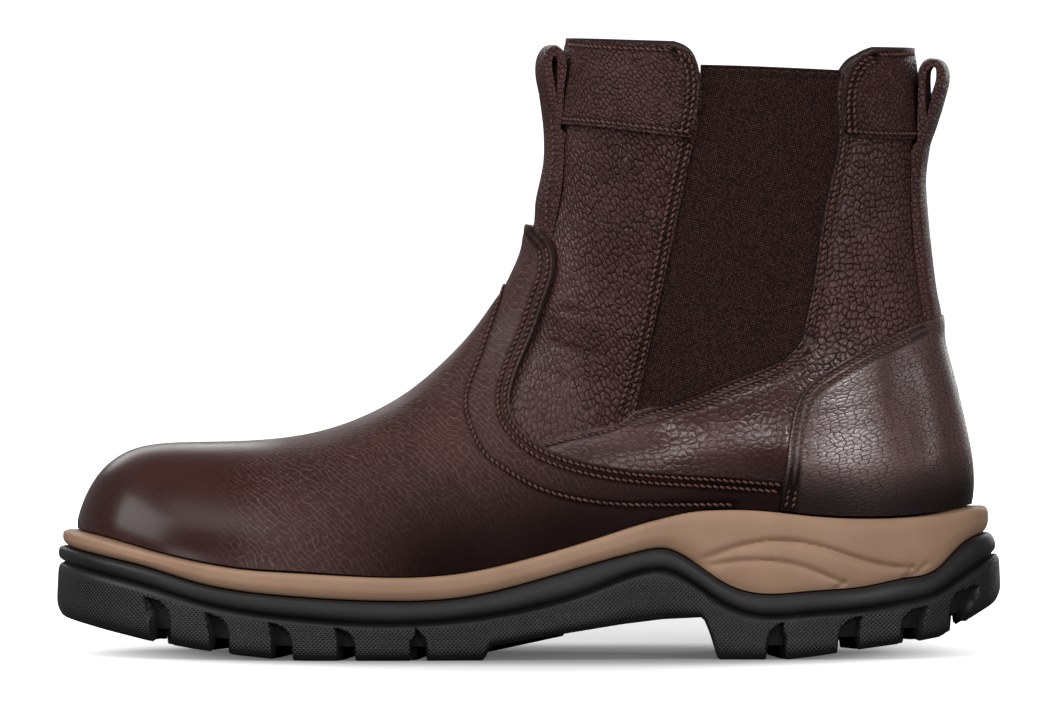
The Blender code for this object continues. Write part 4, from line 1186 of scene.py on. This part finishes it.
dress(make_footbed(), (footbed_cloth,), ("insole",))
dress(make_lining(), (lining_cloth,) * 3, ("upper",))

# %% [markdown]
# ## Shaft panels
# The shaft is two hides: a front panel that wraps the shin from one gore to the other, and a rear
# panel that wraps the heel and runs forward under both gores, lapping over the front panel. Each is
# a patch between its four edges in side view, laid on both sides of the last at once.

# %% Panel edges
VAMP_EDGE = (
    (5.0, 137.4), (7.6, 134.0), (8.9, 127.6), (7.6, 120.1), (5.3, 113.7), (3.1, 107.2),
    (-1.1, 97.5), (-4.4, 89.4), (-6.0, 81.3), (-5.0, 76.5), (-2.1, 72.6), (2.1, 69.0),
    (10.2, 65.2), (19.9, 62.6), (32.8, 60.6), (45.8, 59.7), (61.9, 59.0), (81.6, 57.7),
)
COUNTER_FRONT = ((80.9, 47.8), (82.5, 57.1), (83.5, 66.8), (84.8, 76.5), (87.0, 83.6), (90.6, 88.8))
COUNTER_TOP_SIDE = ((90.6, 88.8), (95.9, 92.7), (104.0, 97.5), (113.7, 102.4), (125.0, 107.4))
GORE_FRONT = ((32.5, 78.4), (37.7, 95.9), (44.1, 125.0), (50.9, 157.3), (53.2, 167.7), (55.5, 190.2))
GORE_REAR = ((87.8, 102.4), (91.4, 118.5), (94.3, 137.9), (98.2, 157.3), (100.1, 168.0), (101.1, 188.6))
GORE_LOW = ((32.5, 78.4), (42.5, 81.3), (55.5, 85.5), (68.4, 90.7), (78.1, 94.3), (84.6, 98.5),
            (87.8, 102.4))
GORE_HIGH = ((55.5, 190.2), (70.0, 189.8), (86.0, 189.2), (101.1, 188.6))
FRONT_SEAM = ((31.2, 77.1), (23.1, 74.2), (13.4, 72.3), (2.75, 69.7), (-4.0, 68.4))
UNDER_VAMP = ((-2.0, 66.0), (-9.0, 76.0), (-10.0, 84.0), (-6.0, 97.0), (-1.5, 108.0), (0.4, 116.0),
              (0.2, 124.0))
UNDER_QUARTER = ((-2.0, 66.0), (10.0, 67.0), (22.0, 69.5), (33.0, 74.5))
PANEL_TOP = 17.93
VAMP_LINE = trace(VAMP_EDGE, 160)
COUNTER_LINE = trace(COUNTER_FRONT + COUNTER_TOP_SIDE[1:], 160)
GORE_FRONT_LINE, GORE_REAR_LINE, GORE_LOW_LINE, SEAM_LINE = (
    trace(edge) for edge in (GORE_FRONT, GORE_REAR, GORE_LOW, FRONT_SEAM))
LEFT = 1
RIGHT = -1
STITCH_ROWS = (1.5, 3.7)
FRONT_SEAM_ROW = beside(SEAM_LINE, 1.6)
print("vamp edge %.0f mm long" % run_along(VAMP_LINE)[-1])


# %% Front and rear panels
def rows_of(parts, counts):
    """Points along several curves in turn, each read a given number of times."""
    runs = [part(np.linspace(0, 1, count + 1)[:-1]) for part, count in zip(parts, counts)]
    return np.concatenate(runs + [parts[-1](np.array([1.0]))])


def edge_rows(line, start, end, hand):
    """Stitch rows to the left or right of an edge, between two parts of its length."""
    picked = line[int(start * len(line)):int(math.ceil(end * len(line)))]
    return [beside(picked, hand * by) for by in STITCH_ROWS]


SHAFT_CREASES = (
    ((8.0, 101.0), (19.0, 98.5), (31.0, 101.5)),
    ((6.0, 92.0), (17.0, 88.5), (30.0, 91.0)),
    ((11.0, 112.0), (22.0, 110.5), (36.0, 114.0)),
    ((14.0, 82.0), (22.0, 80.0), (29.0, 81.5)),
)
QUARTER_CREST = ((22.0, 66.5), (45.0, 66.0), (65.0, 67.0), (80.0, 68.0))
QUARTER_CREASES = (
    ((96.0, 116.0), (106.0, 113.0), (119.0, 116.5)),
    ((98.0, 126.0), (109.0, 123.5), (122.0, 126.0)),
)


def creases(points, table, depth, width):
    """Creases at listed places: soft troughs with a low ridge on either side."""
    relief = np.zeros(len(points))
    for row in table:
        away = distance(points, trace(row, 16)) / width
        relief += depth * (0.45 * np.exp(-((away - 1.9) / 1.1) ** 2) - np.exp(-away ** 2))
    return relief


def make_front_panel():
    """Hide round the shin, from gore to gore, tucked under vamp and rear panel."""
    shin = partial_line(13.0, PANEL_TOP, "top")
    left = rows_of((path(UNDER_VAMP + (tuple(shin(np.array([0.0]))[0]),)), shin), (70, 80))
    side = GORE_FRONT[:5] + ((55.2, 186.5), (53.0, 192.4), (47.5, 196.4))
    rows = np.concatenate((np.linspace(0, 0.5, 71)[:-1], np.linspace(0.5, 1, 81)))
    right = path((UNDER_QUARTER[-1],) + side[1:])(rows)
    columns = graded(60, 0.95, 12, 2)
    bottom = path(UNDER_QUARTER)(columns)
    top = left[-1] + (right[-1] - left[-1]) * columns[:, None]
    grid = both_sides(coons(rows, columns, left, right, bottom, top))

    def relief(points):
        return creases(points[:, ::2], SHAFT_CREASES, 0.3, 1.5)

    seams = edge_rows(GORE_FRONT_LINE, 0.0, 0.82, LEFT)
    return sheet("shaft_front", grid, -1.8, -0.1, relief, seams, FORWARD)


def partial_line(first, last, end):
    """Centre line of the last between two rows as a curve from 0 to 1."""
    return lambda part: end_line(first + (last - first) * part, end)


def make_rear_panel():
    """Hide round the heel that runs forward under the gores to the vamp."""
    back = partial_line(PANEL_TOP, HEEL_ROW, "low")
    heel_x, front_x = SECTIONS[int(HEEL_ROW)][0], -4.0

    def feather(part):
        x = heel_x + (front_x - heel_x) * part
        return np.stack((x, sole_line("feather", x) + 0.8 * np.clip(part * 20, 0, 1)), axis=-1)

    counts = (90, 110)
    low = rows_of((back, feather), counts)
    rear = path(((110.4, 195.0), (104.5, 192.6)) + GORE_REAR[::-1])
    front = path(GORE_LOW[::-1] + FRONT_SEAM)
    high = rows_of((rear, front), counts)
    rows = np.linspace(0, 1, len(low))
    columns = graded(60, 0.94, 14, 1.7)
    start = low[0] + (high[0] - low[0]) * columns[:, None]
    end = low[-1] + (high[-1] - low[-1]) * columns[:, None]
    grid = both_sides(coons(rows, columns, low, high, start, end))

    def relief(points):
        flat = points[:, ::2]
        crest = troughs(flat, [np.array(QUARTER_CREST)], 1.2, 7.0)
        return creases(flat, QUARTER_CREASES, 0.2, 1.6) - crest

    seams = edge_rows(GORE_REAR_LINE, 0.02, 0.8, RIGHT) + edge_rows(GORE_LOW_LINE, 0.0, 0.98, RIGHT)
    return sheet("shaft_rear", grid, -1.5, 0.25, relief, seams + [FRONT_SEAM_ROW], BACKWARD)


dress(make_front_panel(), (shaft_hide, cut_edge, lining_cloth), ("upper",))
dress(make_rear_panel(), (quarter_hide, cut_edge, lining_cloth), ("upper",))

# %% [markdown]
# ## Vamp and counter
# The vamp is one hide pulled over toe and instep, and its arms run back along the sole. Its edge is
# cut, not folded, and stands proud with two rows of stitching. The tip lifts where the foot of the
# front strap is tucked under it. The counter is cut the same way round the heel.

# %% Vamp and counter
OVERLAY = 1.6
OVERLAY_GAP = 0.58
OVERLAY_TOP = OVERLAY_GAP + OVERLAY
COUNTER_GAP = 0.3
COUNTER_TOP = COUNTER_GAP + OVERLAY
COUNTER_LOW_ROW = HEEL_ROW + 0.1
COUNTER_TIP_ROW = 14.72
VAMP_TIP = np.array((3.0, 137.5))
COUNTER_TIP = np.array((131.0, 109.5))
VAMP_CREASES = (
    ((-86.0, 56.0), (-80.0, 47.0), (-73.0, 38.0)),
    ((-78.0, 57.0), (-71.0, 47.0), (-64.0, 36.5)),
    ((-68.0, 57.0), (-62.0, 47.5), (-55.0, 38.0)),
    ((-57.0, 58.0), (-51.0, 48.0), (-43.0, 38.0)),
    ((-46.0, 60.0), (-39.0, 50.0), (-31.0, 41.0)),
    ((-34.0, 62.0), (-28.0, 53.0), (-20.0, 44.0)),
    ((-24.0, 58.0), (-17.0, 50.0), (-8.0, 42.5)),
)
COUNTER_CREASES = (
    ((92.0, 84.0), (104.0, 86.0), (122.0, 93.0)),
    ((91.0, 78.0), (105.0, 80.5), (124.0, 88.0)),
    ((90.0, 72.0), (101.0, 73.0), (113.0, 76.5)),
    ((89.0, 65.0), (99.0, 67.0), (110.0, 71.5)),
)
COUNTER_CREST = ((84.0, 61.0), (105.0, 61.5), (126.0, 63.0))
COUNTER_DENT = (((121.5, 92.0), (120.8, 80.0), (122.5, 68.0)),)
VAMP_SEAM = (
    (-3.4, 126.6), (-7.6, 115.3), (-12.5, 102.4), (-16.3, 92.7), (-19.9, 81.3), (-18.3, 73.3),
    (-14.1, 65.2), (-7.6, 60.3), (0.5, 55.5), (10.2, 52.2), (23.1, 50.0), (36.1, 49.4),
    (52.2, 49.6), (66.0, 49.8),
)
VAMP_SEAM_LINE = trace(VAMP_SEAM, 120)


def make_vamp():
    """Hide over toe and instep whose arms run back along the sole."""
    a = np.linspace(0, 1, 210) ** 0.95
    arm = 0.9
    b = graded(110, arm, 9, 2)
    ridge = end_line(a * THROAT_ROW, "top")
    x = ridge[0, 0] + (VAMP_EDGE[-1][0] - 1.4 - ridge[0, 0]) * a ** 1.6
    feather = np.stack((x, sole_line("feather", x) + 0.6), axis=-1)
    ridge[0] = feather[0] + (0.0, 0.05)
    tip = ridge[0] + (feather[0] - ridge[0]) * b[:, None]
    edge = path((tuple(ridge[-1]),) + VAMP_EDGE)(np.clip(b / arm, 0, 1))
    drop = np.clip((b - arm) / (1 - arm), 0, 1)[:, None]
    edge = edge + (feather[-1] - np.array(VAMP_EDGE[-1])) * drop
    grid = both_sides(coons(a, b, ridge, feather, tip, edge, 3))

    def relief(points):
        flat = points[:, ::2]
        lip = 2.0 * np.exp(-(np.linalg.norm(flat - VAMP_TIP, axis=1) / 6.5) ** 2)
        return lip + creases(flat, VAMP_CREASES, 0.14, 1.8)

    seams = edge_rows(VAMP_LINE, 0.0, 1.0, RIGHT) + [VAMP_SEAM_LINE]
    return sheet("vamp_leather", grid, OVERLAY_GAP, OVERLAY_TOP, relief, seams, UPWARD, lined=False)


def make_counter():
    """Hide round the heel, from the feather line to the foot of the back strap."""
    a = graded(80, 0.93, 12, 2)
    b = graded(70, 0.93, 9)
    back = end_line(COUNTER_LOW_ROW + (COUNTER_TIP_ROW - COUNTER_LOW_ROW) * b, "low")
    front = path(COUNTER_FRONT)(b)
    x = back[0, 0] + (front[0, 0] - back[0, 0]) * a
    low = np.stack((x, sole_line("feather", x) + 1.0), axis=-1)
    low[0] = back[0]
    low[-1] = front[0]
    high = path(COUNTER_TOP_SIDE + (tuple(back[-1]),))(1 - a)
    grid = both_sides(coons(b, a, back, front, low, high))

    def relief(points):
        flat = points[:, ::2]
        lip = 1.7 * np.exp(-(np.linalg.norm(flat - COUNTER_TIP, axis=1) / 6.0) ** 2)
        swell = -troughs(flat, [np.array(COUNTER_CREST)], 1.0, 9.0)
        lines = creases(flat, COUNTER_CREASES, 0.03, 1.2)
        return lip + swell + lines + creases(flat, COUNTER_DENT, 0.3, 4.0)

    seams = edge_rows(COUNTER_LINE, 0.0, 1.0, RIGHT)
    return sheet("counter_leather", grid, COUNTER_GAP, COUNTER_TOP, relief, seams, BACKWARD, lined=False)


dress(make_vamp(), (vamp_hide, cut_edge, lining_cloth), ("vamp",))
dress(make_counter(), (counter_hide, cut_edge, lining_cloth), ("heel_counter",))

# %% [markdown]
# ## Collar bands and gores
# Two bands finish the collar, front and back, and two webs of knitted elastic fill the windows
# between them. The webs sit a little below the leather, with a hem line sunk along the top.

# %% Bands and gores
BAND_GAP = 0.35
BAND_TOP = BAND_GAP + 1.5
FRONT_BAND_LOW = ((23.0, 171.2), (36.0, 169.9), (52.5, 168.0))
FRONT_BAND_SIDE = ((52.5, 168.0), (54.8, 189.6), (53.8, 193.2), (51.2, 196.2), (47.2, 197.9))
BACK_BAND_LOW = ((112.0, 167.4), (100.8, 168.3))
BACK_BAND_SIDE = ((100.8, 168.3), (101.9, 188.4), (104.1, 192.3), (107.4, 194.8), (110.6, 196.1))
# Piece, solid, lowest row of the last, end of the sections, low edge and side edge.
BANDS = (
    ("band_front", "collar_band_front", 16.45, "top", FRONT_BAND_LOW, FRONT_BAND_SIDE),
    ("band_back", "collar_band_back", 17.03, "low", BACK_BAND_LOW, BACK_BAND_SIDE),
)
GORE_RECESS = 0.9
GORE_THICKNESS = 1.5


def make_band(name, first_row, end, low_points, side_points):
    """Collar band and the side view lines of its stitching."""
    a = graded(60, 0.94, 8, 2)
    rims = np.linspace(0, 0.1, 5)[:-1], np.linspace(0.9, 1, 5)[1:]
    b = np.concatenate((rims[0], np.linspace(0.1, 0.9, 30), rims[1]))
    middle = end_line(first_row + (COLLAR_ROW - first_row) * b, end)
    side = path(side_points)(b)
    low = path((tuple(middle[0]),) + low_points)(a)
    high = middle[-1] + (side[-1] - middle[-1]) * a[:, None]
    patch = coons(b, a, middle, side, low, high)
    upright = path(side_points)(np.linspace(0.02, 0.97, 60))
    hand, bend = (LEFT, FORWARD) if end == "top" else (RIGHT, BACKWARD)
    lines = [beside(low[8:], hand * 1.7), beside(high[8:], -hand * 1.8)]
    lines += [beside(upright, hand * by) for by in (1.8, 3.6)]
    return sheet(name, both_sides(patch), BAND_GAP, BAND_TOP, seams=lines, bend=bend), lines


def make_gore(name, side):
    """Elastic web with a hem line sunk along its top."""
    a = np.linspace(0.004, 0.996, 70)
    b = np.append(np.linspace(0.002, 0.95, 70), np.linspace(0.95, 1.0, 12)[1:])
    low, high = path(GORE_LOW)(a), path(GORE_HIGH)(a)
    patch = coons(a, b, low, high, path(GORE_FRONT)(b), path(GORE_REAR)(b))
    hem = beside(trace(GORE_HIGH), -2.4)
    inner = -GORE_RECESS - GORE_THICKNESS
    return sheet(name, on_upper(patch, side), inner, -GORE_RECESS, seams=[hem], edge=0.25)


band_lines = []
for name, node, *setting in BANDS:
    band, lines = make_band(name, *setting)
    band_lines += lines
    dress(band, (band_hide, cut_edge, lining_cloth), (node,))
for name, side in (("gore_lateral", LATERAL), ("gore_medial", MEDIAL)):
    dress(make_gore(name + "_knit", side), (elastic_knit,) * 3, (name,))

# %% [markdown]
# ## Pull straps
# A strip of leather is folded into a loop, sewn to itself and laid down the middle of the shaft.
# Its side view is drawn as an outer and an inner line. The strip is that section swept
# across, bent round the shaft by the last's own curve.

# %% Straps
# Outer x and z, inner x and z.
FRONT_STRAP = (
    (-0.1, 134.0, 1.1, 133.8), (1.6, 140.0, 2.9, 139.8), (2.0, 146.0, 4.6, 146.0),
    (3.2, 152.0, 5.9, 152.0),
    (4.4, 158.0, 6.7, 158.0), (4.8, 163.0, 6.9, 162.5), (4.7, 168.0, 7.2, 166.0),
    (4.4, 172.0, 7.5, 169.0), (3.9, 176.0, 6.0, 170.9), (3.2, 181.0, 5.4, 177.6),
    (2.2, 186.0, 5.0, 186.0), (2.0, 190.5, 4.8, 190.0), (3.0, 194.4, 5.1, 192.6),
    (5.4, 196.9, 5.9, 193.9), (8.0, 196.2, 6.6, 193.4), (9.6, 193.2, 6.8, 191.6),
    (9.2, 188.5, 6.5, 188.3), (8.0, 183.5, 5.8, 183.4), (6.0, 170.9, 5.4, 177.6),
)
BACK_STRAP = (
    (134.0, 105.8, 131.9, 105.6), (133.2, 111.6, 130.7, 111.2), (131.9, 118.0, 129.3, 118.0),
    (130.7, 127.0, 128.2, 127.0),
    (129.7, 136.0, 127.4, 136.0), (128.8, 146.0, 126.8, 146.0), (128.5, 155.0, 126.6, 155.0),
    (129.4, 162.0, 126.5, 160.0), (130.0, 165.4, 126.5, 163.4), (131.8, 170.4, 128.5, 166.8),
    (133.6, 176.0, 131.0, 174.0), (135.0, 181.0, 132.6, 181.2), (136.0, 185.4, 133.6, 185.4),
    (135.8, 189.2, 133.5, 188.6), (134.2, 191.8, 132.8, 190.0), (131.6, 192.7, 131.4, 190.3),
    (129.0, 191.4, 130.4, 189.3), (127.6, 187.6, 129.9, 187.0), (127.9, 181.0, 130.1, 180.8),
    (128.5, 166.8, 131.0, 174.0),
)
# Table, row of the table where the loop starts, half width, whether it is the front one.
STRAPS = {
    "pull_strap_front": (FRONT_STRAP, 8, 17.0, True),
    "pull_strap_back": (BACK_STRAP, 9, 15.0, False),
}
STRAP_STEPS = 6
STRAP_COLUMNS = 31


def wrap_offset(z, y, front):
    """How far the upper's face runs back from its centre line at distances y to the side."""
    cut = sections(np.linspace(HEEL_ROW, COLLAR_ROW, 200))
    end = "top" if front else "low"
    centre = np.interp(z, cut[end + "_z"], cut[end + "_x"])
    sign = 1.0 if front else -1.0
    near, far = np.zeros(np.shape(z)), np.full(np.shape(z), 30.0)
    for _ in range(26):
        middle = (near + far) / 2
        u, s = locate(centre + sign * middle, z)
        inside = half_width(sections(u), s, LATERAL) < np.abs(y)
        near = np.where(inside, middle, near)
        far = np.where(inside, far, middle)
    return sign * near


def bent(x, y, z, loop_low, front):
    """Strap points bent round the shaft, flatter in the free loop."""
    flat = 1 - 0.5 * np.clip((z - loop_low) / 20.0, 0, 1)
    return np.stack((x + flat * wrap_offset(np.minimum(z, loop_low), y, front), y, z), axis=-1)


def strap_rows(table, join):
    """Side view rows read finely from the table, with the join step left whole."""
    curve = Spline(np.arange(len(table)), table)
    places = [np.arange(i, i + 1, 1.0 / STRAP_STEPS) if i != join else np.array([float(i)])
              for i in range(len(table) - 1)]
    return curve(np.concatenate(places + [[len(table) - 1.0]])), join * STRAP_STEPS


def make_strap(name, table, join, half, front):
    """Strap lying on the shaft whose doubled end opens into a loop above it."""
    rows, join_row = strap_rows(table, join)
    count = len(rows)
    across = half * np.sin(np.linspace(-math.pi / 2, math.pi / 2, STRAP_COLUMNS))
    x, z = rows.reshape(-1, 2).T
    y = np.repeat(across, len(x))
    verts = bent(np.tile(x, len(across)), y, np.tile(z, len(across)), table[join][1], front)
    line = 2 * count
    faces = []
    last = len(across) - 1
    for j in range(len(across)):
        for i in range(count - 1):
            at = j * line + 2 * i
            if j in (0, last):
                faces.append((at, at + 2, at + 3, at + 1))
            if j < last:
                faces.append((at, at + 2, at + 2 + line, at + line))
                if i != join_row:
                    faces.append((at + 1, at + 3, at + 3 + line, at + 1 + line))
        if j < last:
            faces.append((j * line, j * line + 1, j * line + 1 + line, j * line + line))
    piece = place(name + "_leather", verts, faces)
    lay_hide(piece, verts[:, 1:] + verts[:, :1] * (1.3, 0.0))
    weld(piece)
    return piece


for name, (table, join, half, front) in STRAPS.items():
    dress(make_strap(name, table, join, half, front), (strap_hide,), (name,))

# %% [markdown]
# ## Stitching
# Every seam is sewn with a heavy thread, about two millimetres to a stitch. Each stitch is a small
# capsule whose ends dive into the leather. All the stitches of a seam are one mesh worked out with
# arrays, because a thousand separate objects would be slow to handle.

# %% Stitches
PITCH = 2.1
STITCH_LENGTH = 2.0
THREAD_RADIUS = 0.46
SLANT = math.radians(22.0)
RING_PLACES = np.array((-0.5, -0.38, 0.0, 0.38, 0.5))
RING_SIZES = np.array((0.3, 0.85, 1.0, 0.85, 0.3))
RING_DROPS = np.array((-0.34, -0.02, 0.1, -0.02, -0.34))
SIDES = 6


def spaced(points, normals):
    """Centres, directions and normals of stitches along a space curve."""
    run = run_along(points)
    at = np.arange(PITCH / 2, run[-1] - PITCH / 2, PITCH)

    def read(values, shift=0.0):
        return np.stack([np.interp(at + shift, run, values[:, i]) for i in range(3)], axis=-1)

    return read(points), unit(read(points, 0.3) - read(points, -0.3)), read(normals)


def seam(lines, lift):
    """Stitches along side view lines on both sides of the boot."""
    runs = []
    for line in lines:
        for side in (LATERAL, MEDIAL):
            points, normals = surface(trace(line, 300), side)
            runs.append(spaced(points + normals * lift, normals))
    return runs


def sew(name, runs):
    """One mesh of all the stitches of a seam."""
    centre, way, up = (np.concatenate(parts) for parts in zip(*runs))
    aside = np.cross(way, up)
    way = way * math.cos(SLANT) + aside * math.sin(SLANT)
    aside = np.cross(way, up)
    angle = np.arange(SIDES) * 2 * math.pi / SIDES
    rings = []
    for part, size, drop in zip(RING_PLACES, RING_SIZES, RING_DROPS):
        middle = centre + way * STITCH_LENGTH * part + up * drop
        radius = THREAD_RADIUS * size
        spokes = np.cos(angle)[:, None] * up[:, None] + np.sin(angle)[:, None] * aside[:, None]
        rings.append(middle[:, None] + radius * spokes)
    verts = np.stack(rings, axis=1).reshape(-1, 3)
    each = len(RING_PLACES) * SIDES
    block = []
    for i in range(len(RING_PLACES) - 1):
        for k in range(SIDES):
            after = (k + 1) % SIDES
            block.append((i * SIDES + k, i * SIDES + after, (i + 1) * SIDES + after, (i + 1) * SIDES + k))
    block += [tuple(range(SIDES))[::-1], tuple(range(each - SIDES, each))]
    faces = []
    for number in range(len(centre)):
        faces += [tuple(index + number * each for index in face) for face in block]
    piece = place(name, verts, faces)
    body = bmesh.new()
    body.from_mesh(piece.data)
    bmesh.ops.recalc_face_normals(body, faces=body.faces)
    body.to_mesh(piece.data)
    body.free()
    piece.data.shade_smooth()
    print(name, len(centre), "stitches")
    dress(piece, (thread,))


def strap_runs(table, join, half, front):
    """Stitches down both edges of a strap, below its loop."""
    rows, join_row = strap_rows(table, join)
    lying = rows[4:join_row]
    runs = []
    for y in (-half + 2.4, half - 2.4):
        points = bent(lying[:, 0], np.full(len(lying), y), lying[:, 1], table[join][1], front)
        face = np.array((-0.9 if front else 0.9, math.copysign(0.35, y), 0.0))
        runs.append(spaced(points, np.tile(unit(face), (len(points), 1))))
    return runs


vamp_runs = seam(edge_rows(VAMP_LINE, 0.02, 1.0, RIGHT), OVERLAY_TOP - 0.16)
sew("stitches_vamp", vamp_runs + seam([VAMP_SEAM_LINE], OVERLAY_TOP - 0.14))
sew("stitches_counter", seam(edge_rows(COUNTER_LINE, 0.02, 0.96, RIGHT), COUNTER_TOP - 0.16))
front_runs = seam(edge_rows(GORE_FRONT_LINE, 0.0, 0.8, LEFT), -0.26)
rear_rows = edge_rows(GORE_REAR_LINE, 0.04, 0.78, RIGHT) + edge_rows(GORE_LOW_LINE, 0.0, 0.97, RIGHT)
sew("stitches_gore", front_runs + seam(rear_rows + [FRONT_SEAM_ROW], 0.1))
sew("stitches_bands", seam(band_lines, BAND_TOP - 0.12))
sew("stitches_straps", strap_runs(*STRAPS["pull_strap_front"]) + strap_runs(*STRAPS["pull_strap_back"]))

# %% [markdown]
# ## Last update
# The view layer is brought up to date once more.

# %% Update the view layer
bpy.context.view_layer.update()
